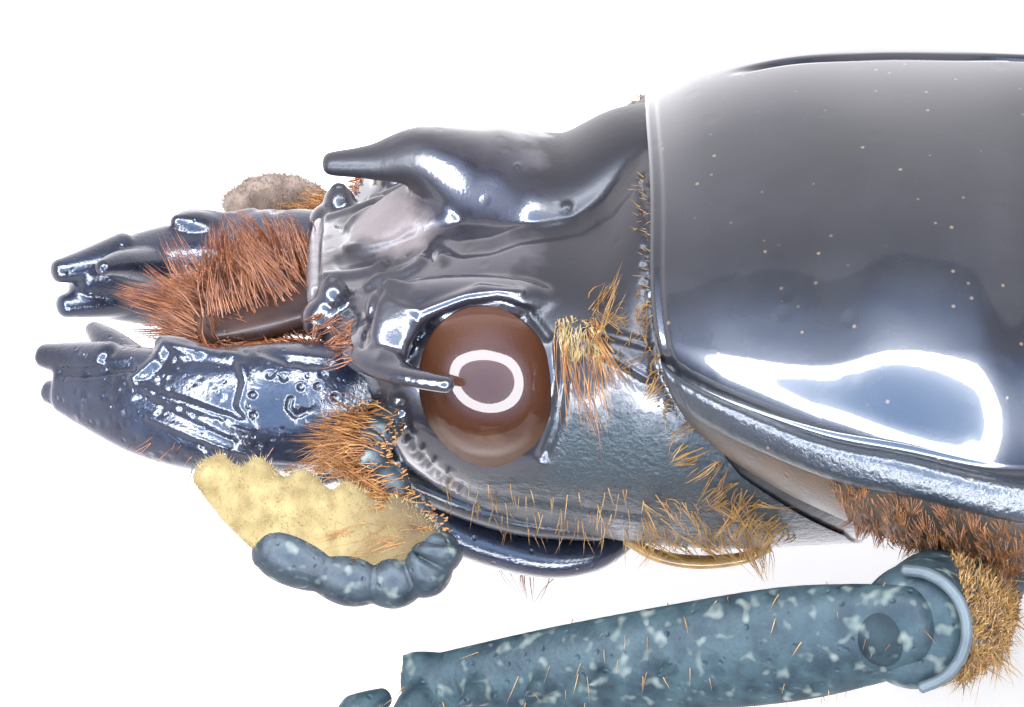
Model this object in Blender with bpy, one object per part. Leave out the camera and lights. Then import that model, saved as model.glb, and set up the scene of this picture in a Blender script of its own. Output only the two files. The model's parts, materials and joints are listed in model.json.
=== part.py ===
"""A horned bess beetle (Passalidae), life size, standing on its six feet with its jaws open.

Lengths are millimetres, and MM turns them to metres where a mesh is made. The head points to
-X, the left side is -Y and +Z is up, with the floor at Z = 0. X is counted from the middle of
the eyes while the beetle is modelled, and CENTRE_X then brings the middle of its length to 0.
Places are given for one side as if it were +Y, and `mirrored` sets them on the left or right.
"""

import math

import bmesh
import bpy
from mathutils import Matrix, Vector

MM = 0.001

# Driving dimensions
GAP = 0.3
CENTRE_X = 14.0
SIDES = ((-1, "left"), (1, "right"))

# Colour and roughness of each finish, and the nodes that don't have the black one
FINISHES = {
    "black": ((0.012, 0.012, 0.016), 0.18),
    "underside": ((0.03, 0.035, 0.045), 0.4),
    "leg": ((0.02, 0.03, 0.04), 0.3),
    "eye": ((0.16, 0.07, 0.04), 0.15),
    "velvet": ((0.55, 0.42, 0.16), 0.85),
}
NODE_FINISHES = {
    "prosternum": "underside", "metasternum": "underside", "abdomen": "underside",
    "coxa": "leg", "femur": "leg", "tibia": "leg", "tarsus": "leg", "eye": "eye",
    "antenna_left_club": "velvet", "antenna_right_club": "velvet",
}
SMOOTH_ANGLE = math.radians(40)
# Edges shorter than this, in metres, are merged after a cut.
MERGE_DISTANCE = 1e-7

# Head rows read x, half width, top, height of the widest line, bottom
HEAD_ROWS = [
    (-2.85, 2.15, 6.70, 6.20, 5.75),
    (-2.35, 3.00, 6.82, 5.75, 4.85),
    (-1.70, 3.62, 7.05, 5.50, 3.80),
    (-0.90, 3.92, 7.38, 5.40, 3.10),
    (0.00, 4.05, 7.60, 5.40, 2.70),
    (1.00, 4.18, 7.72, 5.40, 2.50),
    (2.00, 4.35, 8.58, 5.40, 2.35),
    (3.20, 4.40, 8.60, 5.20, 2.30),
    (5.40, 4.20, 8.20, 4.80, 2.45),
]
HEAD_POWERS = (2.5, 2.0)
EYE_CENTRE = (-0.35, 3.82, 5.84)
EYE_RADII = (1.0, 0.72, 1.24)
CLYPEUS_KNOB = ((-2.65, 2.1, 6.6), (0.32, 0.32, 0.3))
# The slanting joint between head and prothorax, from the top edge to the throat: x, z
NECK_PROFILE = [(1.74, 9.4), (1.88, 8.6), (1.9, 7.1), (2.3, 5.85), (3.15, 4.65), (4.7, 3.35), (5.35, 2.0)]

# Limbs are lists of points that read x, y, z, radius across, radius upward
CANTHUS = [
    (-1.9, 2.7, 6.3, 0.5, 0.3),
    (-2.05, 3.7, 6.3, 0.5, 0.29),
    (-1.6, 4.45, 6.28, 0.3, 0.2),
    (-0.9, 4.85, 6.26, 0.2, 0.17),
]
BROW = [
    (-1.9, 2.95, 6.72, 0.45, 0.32),
    (-1.3, 3.15, 6.88, 0.55, 0.38),
    (-0.5, 3.2, 6.96, 0.56, 0.36),
    (0.15, 3.15, 6.97, 0.42, 0.28),
    (0.7, 3.05, 6.92, 0.2, 0.16),
]
HORN = [
    (1.85, 0.0, 8.2, 1.2, 0.6),
    (1.1, 0.0, 7.5, 1.5, 0.85),
    (0.2, 0.0, 7.4, 1.6, 0.98),
    (-0.6, 0.0, 7.65, 1.1, 0.92),
    (-1.35, 0.0, 8.05, 0.62, 0.48),
    (-2.05, 0.0, 8.0, 0.36, 0.26),
    (-2.64, 0.0, 7.97, 0.23, 0.19),
]
MANDIBLE = [
    (-2.35, 2.75, 5.25, 0.72, 0.8),
    (-3.2, 2.95, 5.22, 0.84, 0.95),
    (-4.3, 3.0, 5.18, 0.8, 0.92),
    (-5.2, 2.8, 5.22, 0.62, 0.82),
    (-6.0, 2.4, 5.3, 0.45, 0.66),
    (-6.55, 2.1, 5.33, 0.3, 0.5),
]
MANDIBLE_TEETH = {
    "upper": [(-5.9, 2.45, 5.68, 0.32, 0.32), (-6.45, 2.1, 5.64, 0.27, 0.24), (-6.9, 1.87, 5.62, 0.17, 0.16)],
    "lower": [(-5.9, 2.4, 5.05, 0.32, 0.32), (-6.45, 2.1, 5.06, 0.27, 0.24), (-6.82, 1.87, 5.06, 0.17, 0.16)],
    "inner": [(-5.4, 2.4, 5.5, 0.34, 0.34), (-5.9, 1.8, 5.76, 0.26, 0.22), (-6.2, 1.35, 5.86, 0.13, 0.12)],
    "back": [(-4.4, 3.05, 5.75, 0.35, 0.35), (-4.85, 2.85, 6.0, 0.3, 0.26), (-5.15, 2.7, 6.15, 0.1, 0.1)],
    "grinding": [(-4.2, 2.9, 5.0, 0.4, 0.4), (-4.6, 2.2, 5.0, 0.3, 0.3), (-4.85, 1.7, 5.0, 0.12, 0.14)],
}
LABRUM = [
    (-3.15, 0.0, 5.97, 1.45, 0.3),
    (-3.7, 0.0, 5.88, 1.6, 0.3),
    (-4.35, 0.0, 5.75, 1.5, 0.26),
    (-4.6, 0.0, 5.7, 1.3, 0.24),
]
LABIUM = [
    (-2.6, 0.0, 3.75, 1.2, 0.35),
    (-1.8, 0.0, 3.3, 1.75, 0.5),
    (-0.8, 0.0, 2.75, 2.05, 0.55),
    (0.4, 0.0, 2.38, 2.1, 0.52),
    (1.2, 0.0, 2.35, 1.9, 0.45),
    (1.75, 0.0, 2.5, 1.5, 0.3),
]

# Routes of the jointed feelers: x, y, z
MAXILLARY_PALP = [(-1.9, 2.3, 3.95), (-2.6, 2.3, 4.0), (-3.3, 2.1, 4.12), (-3.95, 1.75, 4.25)]
LABIAL_PALP = [(-3.15, 0.95, 3.75), (-3.6, 1.0, 3.9), (-4.1, 0.85, 4.05)]
PALP_RADII = (0.25, 0.3)
PALP_SEGMENTS = 3
# The left feeler hangs below the jaw and the right one is held out and up.
ANTENNAE = {
    "left": {
        "stalk": [(-1.75, 3.65, 5.2), (-2.0, 4.35, 5.1), (-1.7, 4.85, 4.75)],
        "club": [
            (-1.1, 5.55, 4.05), (-1.2, 5.6, 3.78), (-1.7, 5.65, 3.58),
            (-2.5, 5.65, 3.66), (-3.5, 5.6, 4.08),
        ],
        "shaft": 0.38,
        "leaves": [
            (-1.75, 5.65, 4.45), (-2.5, 5.5, 4.75), (-3.15, 5.5, 4.95),
            (-3.78, 5.5, 5.1), (-4.3, 5.5, 5.18),
        ],
        "leaf_radii": ((0.25, 0.3), (0.27, 0.36), (0.21, 0.3)),
    },
    "right": {
        "stalk": [(-1.75, 3.65, 5.2), (-2.2, 4.55, 5.3), (-2.55, 5.35, 5.35)],
        "club": [(-3.05, 6.1, 5.15), (-3.35, 6.2, 5.08), (-3.9, 6.15, 5.08), (-4.3, 5.9, 5.15)],
        "shaft": 0.27,
        "leaves": [
            (-3.2, 5.85, 5.52), (-3.45, 5.8, 5.68), (-3.75, 5.75, 5.73),
            (-4.05, 5.7, 5.68), (-4.3, 5.65, 5.5),
        ],
        "leaf_radii": ((0.22, 0.26), (0.22, 0.28), (0.18, 0.22)),
    },
}
STALK_BEADS = 6
STALK_RADII = (0.27, 0.34)
# The first leaf's root and the room after the last one, in steps from leaf to leaf
LEAF_START = 1.0
LEAF_END = 0.3

# Prothorax rows read x, half width, top, height of the side edge, bottom, the radius of the
# arch's side, and how far inside and above the side edge the arch's foot is
PROTHORAX_ROWS = [
    (2.10, 5.00, 8.80, 6.22, 4.10, 0.60, 0.40, 0.34),
    (2.35, 5.30, 8.96, 6.07, 3.75, 0.70, 0.42, 0.34),
    (3.00, 5.72, 9.26, 5.84, 3.20, 0.95, 0.42, 0.36),
    (4.20, 6.25, 9.56, 5.50, 2.75, 1.25, 0.42, 0.46),
    (5.40, 6.56, 9.64, 5.36, 2.55, 1.80, 0.42, 0.47),
    (6.60, 6.62, 9.64, 5.08, 2.48, 2.15, 0.46, 0.48),
    (7.60, 6.52, 9.62, 4.90, 2.45, 2.20, 0.66, 0.48),
    (8.60, 6.46, 9.56, 4.84, 2.48, 2.15, 0.74, 0.48),
    (9.80, 6.40, 9.44, 4.84, 2.55, 1.95, 0.74, 0.48),
    (11.0, 6.15, 9.18, 4.96, 2.75, 1.40, 0.70, 0.48),
    (11.6, 5.80, 8.92, 5.10, 2.95, 1.00, 0.60, 0.48),
    (11.9, 5.30, 8.58, 5.30, 3.20, 0.80, 0.50, 0.46),
]
PRONOTUM_STATIONS = (2.1, 2.3, 2.65, 3.2, 4.0, 4.8, 5.6, 6.6, 7.6, 8.6, 9.6, 10.5, 11.2, 11.65, 11.9)
# The normal's slope where the arch's side turns into its flank, and the flank into its top
SIDE_SLOPE = math.radians(44)
TOP_SLOPE = math.radians(70)
SULCUS_DEPTH = 0.1
SULCUS_HALF_WIDTH = 0.14
# The bead along the pronotum's side edge, outward and up from that edge: y, z
SIDE_BEAD = [(-0.3, 0.36), (0.0, 0.29), (0.03, -0.02), (-0.2, -0.27)]
PROSTERNUM_INSET = 0.35

# Waist
PEDICEL_ROWS = [
    (12.15, 4.50, 8.00, 5.30, 2.90),
    (12.60, 4.70, 8.10, 5.30, 2.60),
    (13.10, 4.95, 8.15, 5.30, 2.50),
]
PEDICEL_POWERS = (2.4, 2.2)
# Corners of the scutellum from its front edge to its tip: x, half width, top
SCUTELLUM = [(12.3, 1.55, 8.5), (13.25, 1.55, 8.75), (14.9, 0.0, 9.28)]
SCUTELLUM_BOTTOM = 7.7

# Wing cases
ELYTRA_STATIONS = (
    13.4, 13.8, 14.5, 16.0, 18.5, 21.5, 24.5, 27.5, 29.5, 31.0, 32.3, 33.4, 34.2, 34.75, 35.0,
)
ELYTRA_HALF_WIDTH = 6.8
ELYTRA_TOP = 9.35
ELYTRA_EDGE_Z = 4.5
ELYTRA_POWER = 2.5
SHOULDER_START = 0.86
SHOULDER_LENGTH = 2.4
DECLIVITY_X = 28.0
DECLIVITY_END_X = 35.1
DECLIVITY_POWER = 2.3
STRIAE = 10
STRIA_SHARE = 0.018

# Underside rows behind the waist read x, half width, lowest point
VENTER_ROWS = [
    (13.40, 5.50, 2.55),
    (15.00, 6.10, 2.15),
    (18.00, 6.30, 2.00),
    (21.80, 6.35, 2.10),
    (26.00, 6.30, 2.45),
    (30.00, 5.60, 2.95),
    (33.00, 3.90, 3.45),
    (34.00, 2.10, 3.85),
]
VENTER_ROUNDING = 0.8
METASTERNUM_END_X = 21.9
ABDOMEN_JOINTS = (24.4, 26.5, 28.4, 30.2, 32.0)
ABDOMEN_JOINT_HALF_WIDTH = 0.12
ABDOMEN_JOINT_SQUEEZE = 0.94

# Shares of a femur's or tibia's length, and its width there as a share of the widest
FEMUR_SWELL = ((0.04, 0.6), (0.25, 0.88), (0.55, 1.0), (0.8, 0.86), (0.95, 0.74), (1.0, 0.64))
TIBIA_SWELL = ((0.0, 0.62), (0.12, 0.68), (0.3, 0.9), (0.6, 1.0), (0.9, 0.92), (0.985, 0.8))
# Legs: places run from the coxa through the hip and the knee to the tibia's end and the claws.
LEGS = {
    "fore": {
        "coxa": (6.9, 2.3, 2.9),
        "hip": (6.8, 3.3, 2.35),
        "knee": (5.6, 8.0, 3.78),
        "ankle": (-1.5, 6.0, 1.95),
        "foot": (-5.0, 7.3, 0.2),
        "femur_radius": 0.95,
        "tibia_radii": (0.42, 0.72),
        "tibia_swell": ((0.0, 0.9), (0.1, 1.06), (0.24, 1.18), (0.45, 1.12), (0.72, 0.96), (0.985, 0.7)),
        "spur": 0.5,
        "teeth": 5,
    },
    "mid": {
        "coxa": (15.2, 2.4, 2.6),
        "hip": (15.3, 3.5, 2.15),
        "knee": (16.2, 9.2, 4.3),
        "ankle": (19.4, 13.0, 1.5),
        "foot": (23.0, 14.6, 0.2),
        "femur_radius": 0.85,
        "tibia_radii": (0.38, 0.52),
        "tibia_swell": TIBIA_SWELL,
        "spur": 1.15,
        "teeth": 2,
    },
    "hind": {
        "coxa": (20.4, 2.2, 2.5),
        "hip": (21.0, 3.4, 2.15),
        "knee": (26.2, 8.7, 4.2),
        "ankle": (29.9, 12.3, 1.5),
        "foot": (33.6, 13.9, 0.2),
        "femur_radius": 0.85,
        "tibia_radii": (0.38, 0.52),
        "tibia_swell": TIBIA_SWELL,
        "spur": 1.15,
        "teeth": 1,
    },
}
# The right fore leg reaches further out and back than the left one.
RIGHT_FORE_LEG = {
    **LEGS["fore"],
    "knee": (6.9, 8.05, 4.0),
    "ankle": (1.4, 12.6, 1.95),
    "foot": (-1.2, 14.6, 0.2),
}
COXA_RADII = ((0.75, 0.7), (0.85, 0.75), (0.6, 0.55))
FEMUR_FLATNESS = 0.62
TIBIA_LEAST_RADIUS = 0.27
# Teeth run back from the shin's end at even shares of its length, each thinner than the last.
TOOTH_START = 0.95
TOOTH_SPACING = 0.13
TOOTH_RADIUS = 0.3
TOOTH_TAPER = 0.03
SPUR_START = 0.93
SPUR_RADIUS = 0.24
TARSUS_SEGMENTS = 5
TARSUS_RADIUS = 0.27
TARSUS_START = 0.6
CLAW_LENGTH = 0.75
CLAW_SPREAD = 0.42
PAD_LENGTH = 0.7
PAD_RADIUS = 0.22


def clear_scene():
    for obj in list(bpy.data.objects):
        bpy.data.objects.remove(obj)


# Curves and profiles


def read_rows(rows, x):
    """The values at x on smooth curves through rows whose first number is x."""
    if x <= rows[0][0]:
        return rows[0][1:]
    if x >= rows[-1][0]:
        return rows[-1][1:]
    i = next(k for k in range(len(rows) - 1) if x <= rows[k + 1][0])
    before, low, high, after = (rows[max(0, min(len(rows) - 1, k))] for k in (i - 1, i, i + 1, i + 2))
    span = high[0] - low[0]
    t = (x - low[0]) / span
    values = []
    for k in range(1, len(low)):
        slope_low = span * (high[k] - before[k]) / (high[0] - before[0])
        slope_high = span * (after[k] - low[k]) / (after[0] - low[0])
        rise = 3 * t**2 - 2 * t**3
        bend = (t**3 - 2 * t**2 + t) * slope_low + (t**3 - t**2) * slope_high
        values.append(low[k] + rise * (high[k] - low[k]) + bend)
    return tuple(values)


def curve_point(points, s):
    """The point at s, from 0 to 1, on a smooth curve through the points and their radii."""
    at = min(max(s, 0.0), 1.0) * (len(points) - 1)
    i = min(int(at), len(points) - 2)
    t = at - i
    p0, p1, p2, p3 = (points[max(0, min(len(points) - 1, k))] for k in (i - 1, i, i + 1, i + 2))
    return [
        b + 0.5 * ((c - a) * t + (2 * a - 5 * b + 4 * c - d) * t**2 + (3 * b - a - 3 * c + d) * t**3)
        for a, b, c, d in zip(p0, p1, p2, p3)
    ]


def power(value, exponent):
    return math.copysign(abs(value) ** exponent, value)


def even(start, stop, count):
    return [start + (stop - start) * k / (count - 1) for k in range(count)]


def mirrored(place, side):
    """A place of either side, set on the left where side is -1 or on the right where it is 1."""
    return (place[0], side * place[1], *place[2:])


# Meshes


def add_object(name, sheet):
    """Makes an object of a bmesh in millimetres, its faces pointing out."""
    bmesh.ops.recalc_face_normals(sheet, faces=sheet.faces)
    bmesh.ops.triangulate(sheet, faces=[face for face in sheet.faces if len(face.verts) > 4])
    bmesh.ops.scale(sheet, vec=(MM, MM, MM), verts=sheet.verts)
    mesh = bpy.data.meshes.new(name)
    sheet.to_mesh(mesh)
    sheet.free()
    obj = bpy.data.objects.new(name, mesh)
    bpy.context.scene.collection.objects.link(obj)
    return obj


def loft(name, rings, start_point=None, end_point=None):
    """A closed skin over rings of equal length, each end drawn to a point or closed flat."""
    sheet = bmesh.new()
    loops = [[sheet.verts.new(point) for point in ring] for ring in rings]
    count = len(rings[0])
    for near, far in zip(loops, loops[1:]):
        for k in range(count):
            after = (k + 1) % count
            sheet.faces.new((near[k], near[after], far[after], far[k]))
    for loop, point in ((loops[0], start_point), (loops[-1], end_point)):
        if point is None:
            sheet.faces.new(loop)
            continue
        tip = sheet.verts.new(point)
        for k in range(count):
            sheet.faces.new((loop[k], loop[(k + 1) % count], tip))
    return add_object(name, sheet)


def body_ring(row, sides, powers, grow=0.0):
    """A rounded cross-section whose upper and lower halves have powers of their own."""
    x, half_width, top, middle, bottom = row
    ring = []
    for k in range(sides):
        angle = 2 * math.pi * k / sides
        upper = math.sin(angle) >= 0
        exponent = 2 / powers[0 if upper else 1]
        height = grow + (top - middle if upper else middle - bottom)
        y = (half_width + grow) * power(math.cos(angle), exponent)
        ring.append((x, y, middle + height * power(math.sin(angle), exponent)))
    return ring


def limb(name, points, sides=8, steps=6, up=(0, 0, 1), grow=0.0, ends=(0.6, 0.6)):
    """A bent tapering limb with domed ends, whose height is a share of the radius there."""
    rings, tips = [], []
    for step in range(steps + 1):
        s = step / steps
        x, y, z, across, upward = curve_point(points, s)
        ahead = Vector(curve_point(points, min(1, s + 0.02))[:3])
        behind = Vector(curve_point(points, max(0, s - 0.02))[:3])
        along = (ahead - behind).normalized()
        side = along.cross(Vector(up)).normalized()
        over = side.cross(along)
        centre = Vector((x, y, z))
        rings.append([
            centre
            + side * (across + grow) * math.cos(2 * math.pi * k / sides)
            + over * (upward + grow) * math.sin(2 * math.pi * k / sides)
            for k in range(sides)
        ])
        reach = ends[0 if step == 0 else 1] * (min(across, upward) + grow)
        tips.append(centre + along * (-reach if step == 0 else reach))
    return loft(name, rings, tips[0], tips[-1])


def ball(name, centre, radii, sides, rows, grow=0.0):
    sheet = bmesh.new()
    bmesh.ops.create_uvsphere(sheet, u_segments=sides, v_segments=rows, radius=1.0)
    bmesh.ops.scale(sheet, vec=[radius + grow for radius in radii], verts=sheet.verts)
    bmesh.ops.translate(sheet, vec=centre, verts=sheet.verts)
    return add_object(name, sheet)


def block(name, outline, half_width):
    """A side outline in x and z, extruded across the midline."""
    sheet = bmesh.new()
    face = sheet.faces.new([sheet.verts.new((x, -half_width, z)) for x, z in outline])
    extruded = bmesh.ops.extrude_face_region(sheet, geom=[face])
    moved = [item for item in extruded["geom"] if isinstance(item, bmesh.types.BMVert)]
    bmesh.ops.translate(sheet, vec=(0, 2 * half_width, 0), verts=moved)
    return add_object(name, sheet)


# Joining and cutting


def boolean(obj, others, operation):
    """Applies a Boolean with all the other objects, which are then removed."""
    group = bpy.data.collections.new(operation)
    for other in others:
        group.objects.link(other)
    modifier = obj.modifiers.new(operation, "BOOLEAN")
    modifier.operation = operation
    modifier.operand_type = "COLLECTION"
    modifier.collection = group
    bpy.context.view_layer.update()
    graph = bpy.context.evaluated_depsgraph_get()
    mesh = bpy.data.meshes.new_from_object(obj.evaluated_get(graph))
    obj.modifiers.clear()
    obj.data = mesh
    for other in others:
        bpy.data.objects.remove(other)
    bpy.data.collections.remove(group)
    keep_largest(obj)


def fuse(obj, others):
    boolean(obj, others, "UNION")


def cut(obj, others):
    boolean(obj, others, "DIFFERENCE")


def keep_largest(obj):
    """Drops every closed surface but the largest, such as a sealed hollow or a loose scrap."""
    sheet = bmesh.new()
    sheet.from_mesh(obj.data)
    seen = set()
    surfaces = []
    for start in sheet.verts:
        if start in seen:
            continue
        surface = []
        waiting = [start]
        seen.add(start)
        while waiting:
            vert = waiting.pop()
            surface.append(vert)
            fresh = {edge.other_vert(vert) for edge in vert.link_edges} - seen
            seen |= fresh
            waiting += fresh
        surfaces.append(surface)
    surfaces.sort(key=box_volume)
    for surface in surfaces[:-1]:
        bmesh.ops.delete(sheet, geom=surface, context="VERTS")
    bmesh.ops.dissolve_degenerate(sheet, dist=MERGE_DISTANCE, edges=sheet.edges)
    bmesh.ops.triangulate(sheet, faces=sheet.faces)
    sheet.to_mesh(obj.data)
    sheet.free()


def box_volume(verts):
    spans = [[vert.co[k] for vert in verts] for k in range(3)]
    return math.prod(max(span) - min(span) for span in spans)


# Head


def neck_block(name, shift, far_x):
    """Everything between the neck joint, moved by shift, and far_x."""
    line = [(x + shift, z) for x, z in NECK_PROFILE]
    corners = [(line[-1][0], -1.0), (far_x, -1.0), (far_x, 12.0), (line[0][0], 12.0)]
    return block(name, line + corners, 9.0)


def behind_head():
    return neck_block("behind_head", 0.0, 14.0)


def ahead_of_prothorax():
    return neck_block("ahead_of_prothorax", GAP, -9.0)


def head_skull(name, grow=0.0, sides=26, rows=16):
    rings = []
    for x in even(HEAD_ROWS[0][0], HEAD_ROWS[-1][0], rows):
        rings.append(body_ring((x, *read_rows(HEAD_ROWS, x)), sides, HEAD_POWERS, grow))
    return loft(name, rings)


def head_clearance():
    return head_skull("head_clearance", GAP, 24, 14)


def canthus(side, grow=0.0):
    """The narrow bar that crosses the front of the eye."""
    return limb("canthus", [mirrored(point, side) for point in CANTHUS], grow=grow)


def brow(side):
    """The ridge over the eye."""
    return limb("brow", [mirrored(point, side) for point in BROW], steps=7)


def clypeus_knob(side):
    centre, radii = CLYPEUS_KNOB
    return ball("knob", mirrored(centre, side), radii, 8, 6)


def eye(name, side, sides=16, rows=10, grow=0.0):
    return ball(name, mirrored(EYE_CENTRE, side), EYE_RADII, sides, rows, grow)


def build_head():
    head = head_skull("head")
    pieces = []
    for side, _ in SIDES:
        pieces += [brow(side), canthus(side), clypeus_knob(side)]
    fuse(head, pieces)
    cut(head, [behind_head()])
    cut(head, [eye("socket", side, 14, 9, GAP) for side, _ in SIDES])


def build_eyes():
    for side, word in SIDES:
        ball_eye = eye(f"eye_{word}", side)
        cut(ball_eye, [canthus(side, GAP)])


def build_horn():
    """The free-tipped horn, which rises from the crown and bends forward over the clypeus."""
    horn = limb("horn", HORN, 14, 14)
    cut(horn, [head_clearance(), behind_head()])


# Mouth and feelers


def build_mandible(name, side):
    """A jaw whose end bends in, with three teeth there, one on its back and one for grinding."""
    jaw = limb(name, [mirrored(point, side) for point in MANDIBLE], 12, 11, ends=(0.25, 0.6))
    teeth = []
    for tooth in MANDIBLE_TEETH.values():
        teeth.append(limb("tooth", [mirrored(point, side) for point in tooth], 6, 4))
    fuse(jaw, teeth)
    cut(jaw, [head_clearance()])


def build_lips():
    limb("labrum", LABRUM, 14, 5, ends=(0.0, 0.3))
    chin = limb("labium", LABIUM, 16, 9)
    cut(chin, [head_clearance()])


def build_palp(name, route, side, steps):
    """A jointed feeler of the mouth, which swells once for each of its segments."""
    slim, thick = PALP_RADII
    points = []
    for s in even(0, 1, steps + 1):
        radius = slim + (thick - slim) * math.sin(PALP_SEGMENTS * math.pi * s) ** 2
        points.append(mirrored((*curve_point(route, s), radius, radius), side))
    feeler = limb(name, points, steps=steps)
    cut(feeler, [head_clearance()])


def build_mouth():
    build_lips()
    for side, word in SIDES:
        build_mandible(f"mandible_{word}", side)
        build_palp(f"maxillary_palp_{word}", MAXILLARY_PALP, side, 9)
        build_palp(f"labial_palp_{word}", LABIAL_PALP, side, 6)


def build_stalk(name, route, side):
    """The feeler's small round segments, between the head and the club."""
    steps = 2 * STALK_BEADS
    points = []
    for k in range(steps + 1):
        radius = STALK_RADII[k % 2]
        points.append(mirrored((*curve_point(route, k / steps), radius, radius), side))
    stalk = limb(name, points, steps=steps)
    cut(stalk, [head_clearance()])


def club_leaf(root, tip, radii, side):
    places = (root, (root + tip) / 2, tip)
    points = [mirrored((*place, *pair), side) for place, pair in zip(places, radii)]
    return limb("leaf", points, 7, 4, up=(1, 0, 0))


def build_club(name, feeler, side):
    """The feeler's curved end with its leaves, which stand off it on the inner side."""
    route, radius, tips = feeler["club"], feeler["shaft"], feeler["leaves"]
    club = limb(name, [mirrored((*place, radius, radius), side) for place in route], steps=8)
    leaves = []
    for k, tip in enumerate(tips):
        root = Vector(curve_point(route, (LEAF_START + k) / (len(tips) + LEAF_END)))
        leaves.append(club_leaf(root, Vector(tip), feeler["leaf_radii"], side))
    fuse(club, leaves)


def build_antennae():
    for side, word in SIDES:
        build_stalk(f"antenna_{word}_stalk", ANTENNAE[word]["stalk"], side)
        build_club(f"antenna_{word}_club", ANTENNAE[word], side)


# Prothorax


def arch_point(width, height, side, slope):
    """The point of a three-arc arch where its normal has that slope: y, and z above its foot."""
    side_sin, side_cos = math.sin(SIDE_SLOPE), math.cos(SIDE_SLOPE)
    top_sin, top_cos = math.sin(TOP_SLOPE), math.cos(TOP_SLOPE)
    if slope <= SIDE_SLOPE:
        return width - side * (1 - math.cos(slope)), side * math.sin(slope)
    inward, upward = width - side * (1 - side_cos), height - side * side_sin
    scale = top_cos * (top_sin - side_sin) - (1 - top_sin) * (side_cos - top_cos)
    top = (inward * (top_sin - side_sin) - upward * (side_cos - top_cos)) / scale
    if slope >= TOP_SLOPE:
        return top * math.cos(slope), height - top * (1 - math.sin(slope))
    flank = (top_cos * upward - (1 - top_sin) * inward) / scale
    y = inward - flank * (side_cos - math.cos(slope))
    return y, side * side_sin + flank * (math.sin(slope) - side_sin)


def pronotum_outline(x, points=12):
    """Half of a cross-section, from the midline's groove down to the beaded side edge: y, z."""
    half_width, top, edge, _, side, inset, rise = read_rows(PROTHORAX_ROWS, x)
    foot = edge + rise
    outline = [(0.0, top - SULCUS_DEPTH), (SULCUS_HALF_WIDTH, top)]
    for k in range(2, points + 1):
        y, z = arch_point(half_width - inset, top - foot, side, math.pi / 2 * (1 - k / points))
        outline.append((y, foot + z))
    return outline + [(half_width + y, edge + z) for y, z in SIDE_BEAD]


def build_pronotum():
    rings = []
    for x in PRONOTUM_STATIONS:
        outline = pronotum_outline(x)
        left = [(x, -y, z) for y, z in outline[:0:-1]]
        rings.append(left + [(x, y, z) for y, z in outline])
    shield = loft("pronotum", rings)
    cut(shield, [ahead_of_prothorax()])


def keel_ring(x, half_width, lid, depth, rounding, sides):
    """A cross-section that is flat above, at the lid, and rounded below it."""
    ring = [(x, half_width, lid), (x, 0.0, lid), (x, -half_width, lid)]
    for k in range(1, sides):
        angle = math.pi * (1 + k / sides)
        y = half_width * power(math.cos(angle), rounding)
        ring.append((x, y, lid + depth * power(math.sin(angle), rounding)))
    return ring


def build_prosternum():
    rings = []
    for x in even(PROTHORAX_ROWS[0][0], PROTHORAX_ROWS[-1][0], 12):
        half_width, _, edge, bottom, *_ = read_rows(PROTHORAX_ROWS, x)
        lid = edge + SIDE_BEAD[-1][1] - GAP
        rings.append(keel_ring(x, half_width - PROSTERNUM_INSET, lid, lid - bottom, 1.05, 12))
    sternum = loft("prosternum", rings)
    cut(sternum, [ahead_of_prothorax()])
    cut(sternum, leg_clearances("fore"))


# Hind body


def declivity(x):
    """The share of the full size left at x: 1 ahead of the slope at the end, 0 at its foot."""
    t = max(0.0, (x - DECLIVITY_X) / (DECLIVITY_END_X - DECLIVITY_X))
    return max(0.0, 1 - t**DECLIVITY_POWER) ** (1 / DECLIVITY_POWER)


def shoulder(x):
    """The share of the full width at x, less than 1 only near the wing cases' front edge."""
    t = min(1.0, (x - ELYTRA_STATIONS[0]) / SHOULDER_LENGTH)
    return SHOULDER_START + (1 - SHOULDER_START) * math.sqrt(1 - (1 - t) ** 2)


def elytron_outline(x):
    """From the seam to the side edge, with a groove for each stria: y, z."""
    width = ELYTRA_HALF_WIDTH * shoulder(x) * declivity(x)
    rise = (ELYTRA_TOP - ELYTRA_EDGE_Z) * (0.55 + 0.45 * shoulder(x)) * (0.06 + 0.94 * declivity(x))
    outline = []
    count = 2 * STRIAE + 1
    for k in range(count + 1):
        angle = math.pi / 2 * (1 - k / (count + 0.6))
        share = 1 - STRIA_SHARE * (k % 2)
        y = share * width * power(math.cos(angle), 2 / ELYTRA_POWER)
        z = share * rise * power(math.sin(angle), 2 / ELYTRA_POWER)
        outline.append((y, ELYTRA_EDGE_Z + z))
    return outline + [(width, ELYTRA_EDGE_Z)]


def build_elytron(name, side):
    seam = GAP / 2
    rings = []
    for x in ELYTRA_STATIONS:
        outline = elytron_outline(x)
        ring = [(x, side * seam, outline[0][1])]
        for k, (y, z) in enumerate(outline[1:], 1):
            ring.append((x, side * max(y, seam + 0.02 * k), z))
        ring.append((x, side * seam, ELYTRA_EDGE_Z))
        rings.append(ring)
    wing_case = loft(name, rings)
    cut(wing_case, [scutellum("scutellum_clearance", GAP)])


def scutellum(name, grow=0.0):
    """The three-sided plate on the waist, whose tip slopes up between the wing cases."""
    (front_x, width, front_top), (corner_x, _, corner_top), (tip_x, _, tip_top) = SCUTELLUM
    half = width + grow
    corners = [
        (front_x - grow, -half, front_top),
        (front_x - grow, half, front_top),
        (corner_x, half, corner_top),
        (tip_x + 2 * grow, 0.0, tip_top),
        (corner_x, -half, corner_top),
    ]
    floor = [(x, y, SCUTELLUM_BOTTOM - grow) for x, y, _ in corners]
    roof = [(x, y, top + grow) for x, y, top in corners]
    return loft(name, [floor, roof])


def build_waist():
    waist = loft("pedicel", [body_ring(row, 24, PEDICEL_POWERS) for row in PEDICEL_ROWS])
    cut(waist, [scutellum("scutellum_clearance", GAP), *leg_clearances("mid")])
    scutellum("scutellum")


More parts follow.
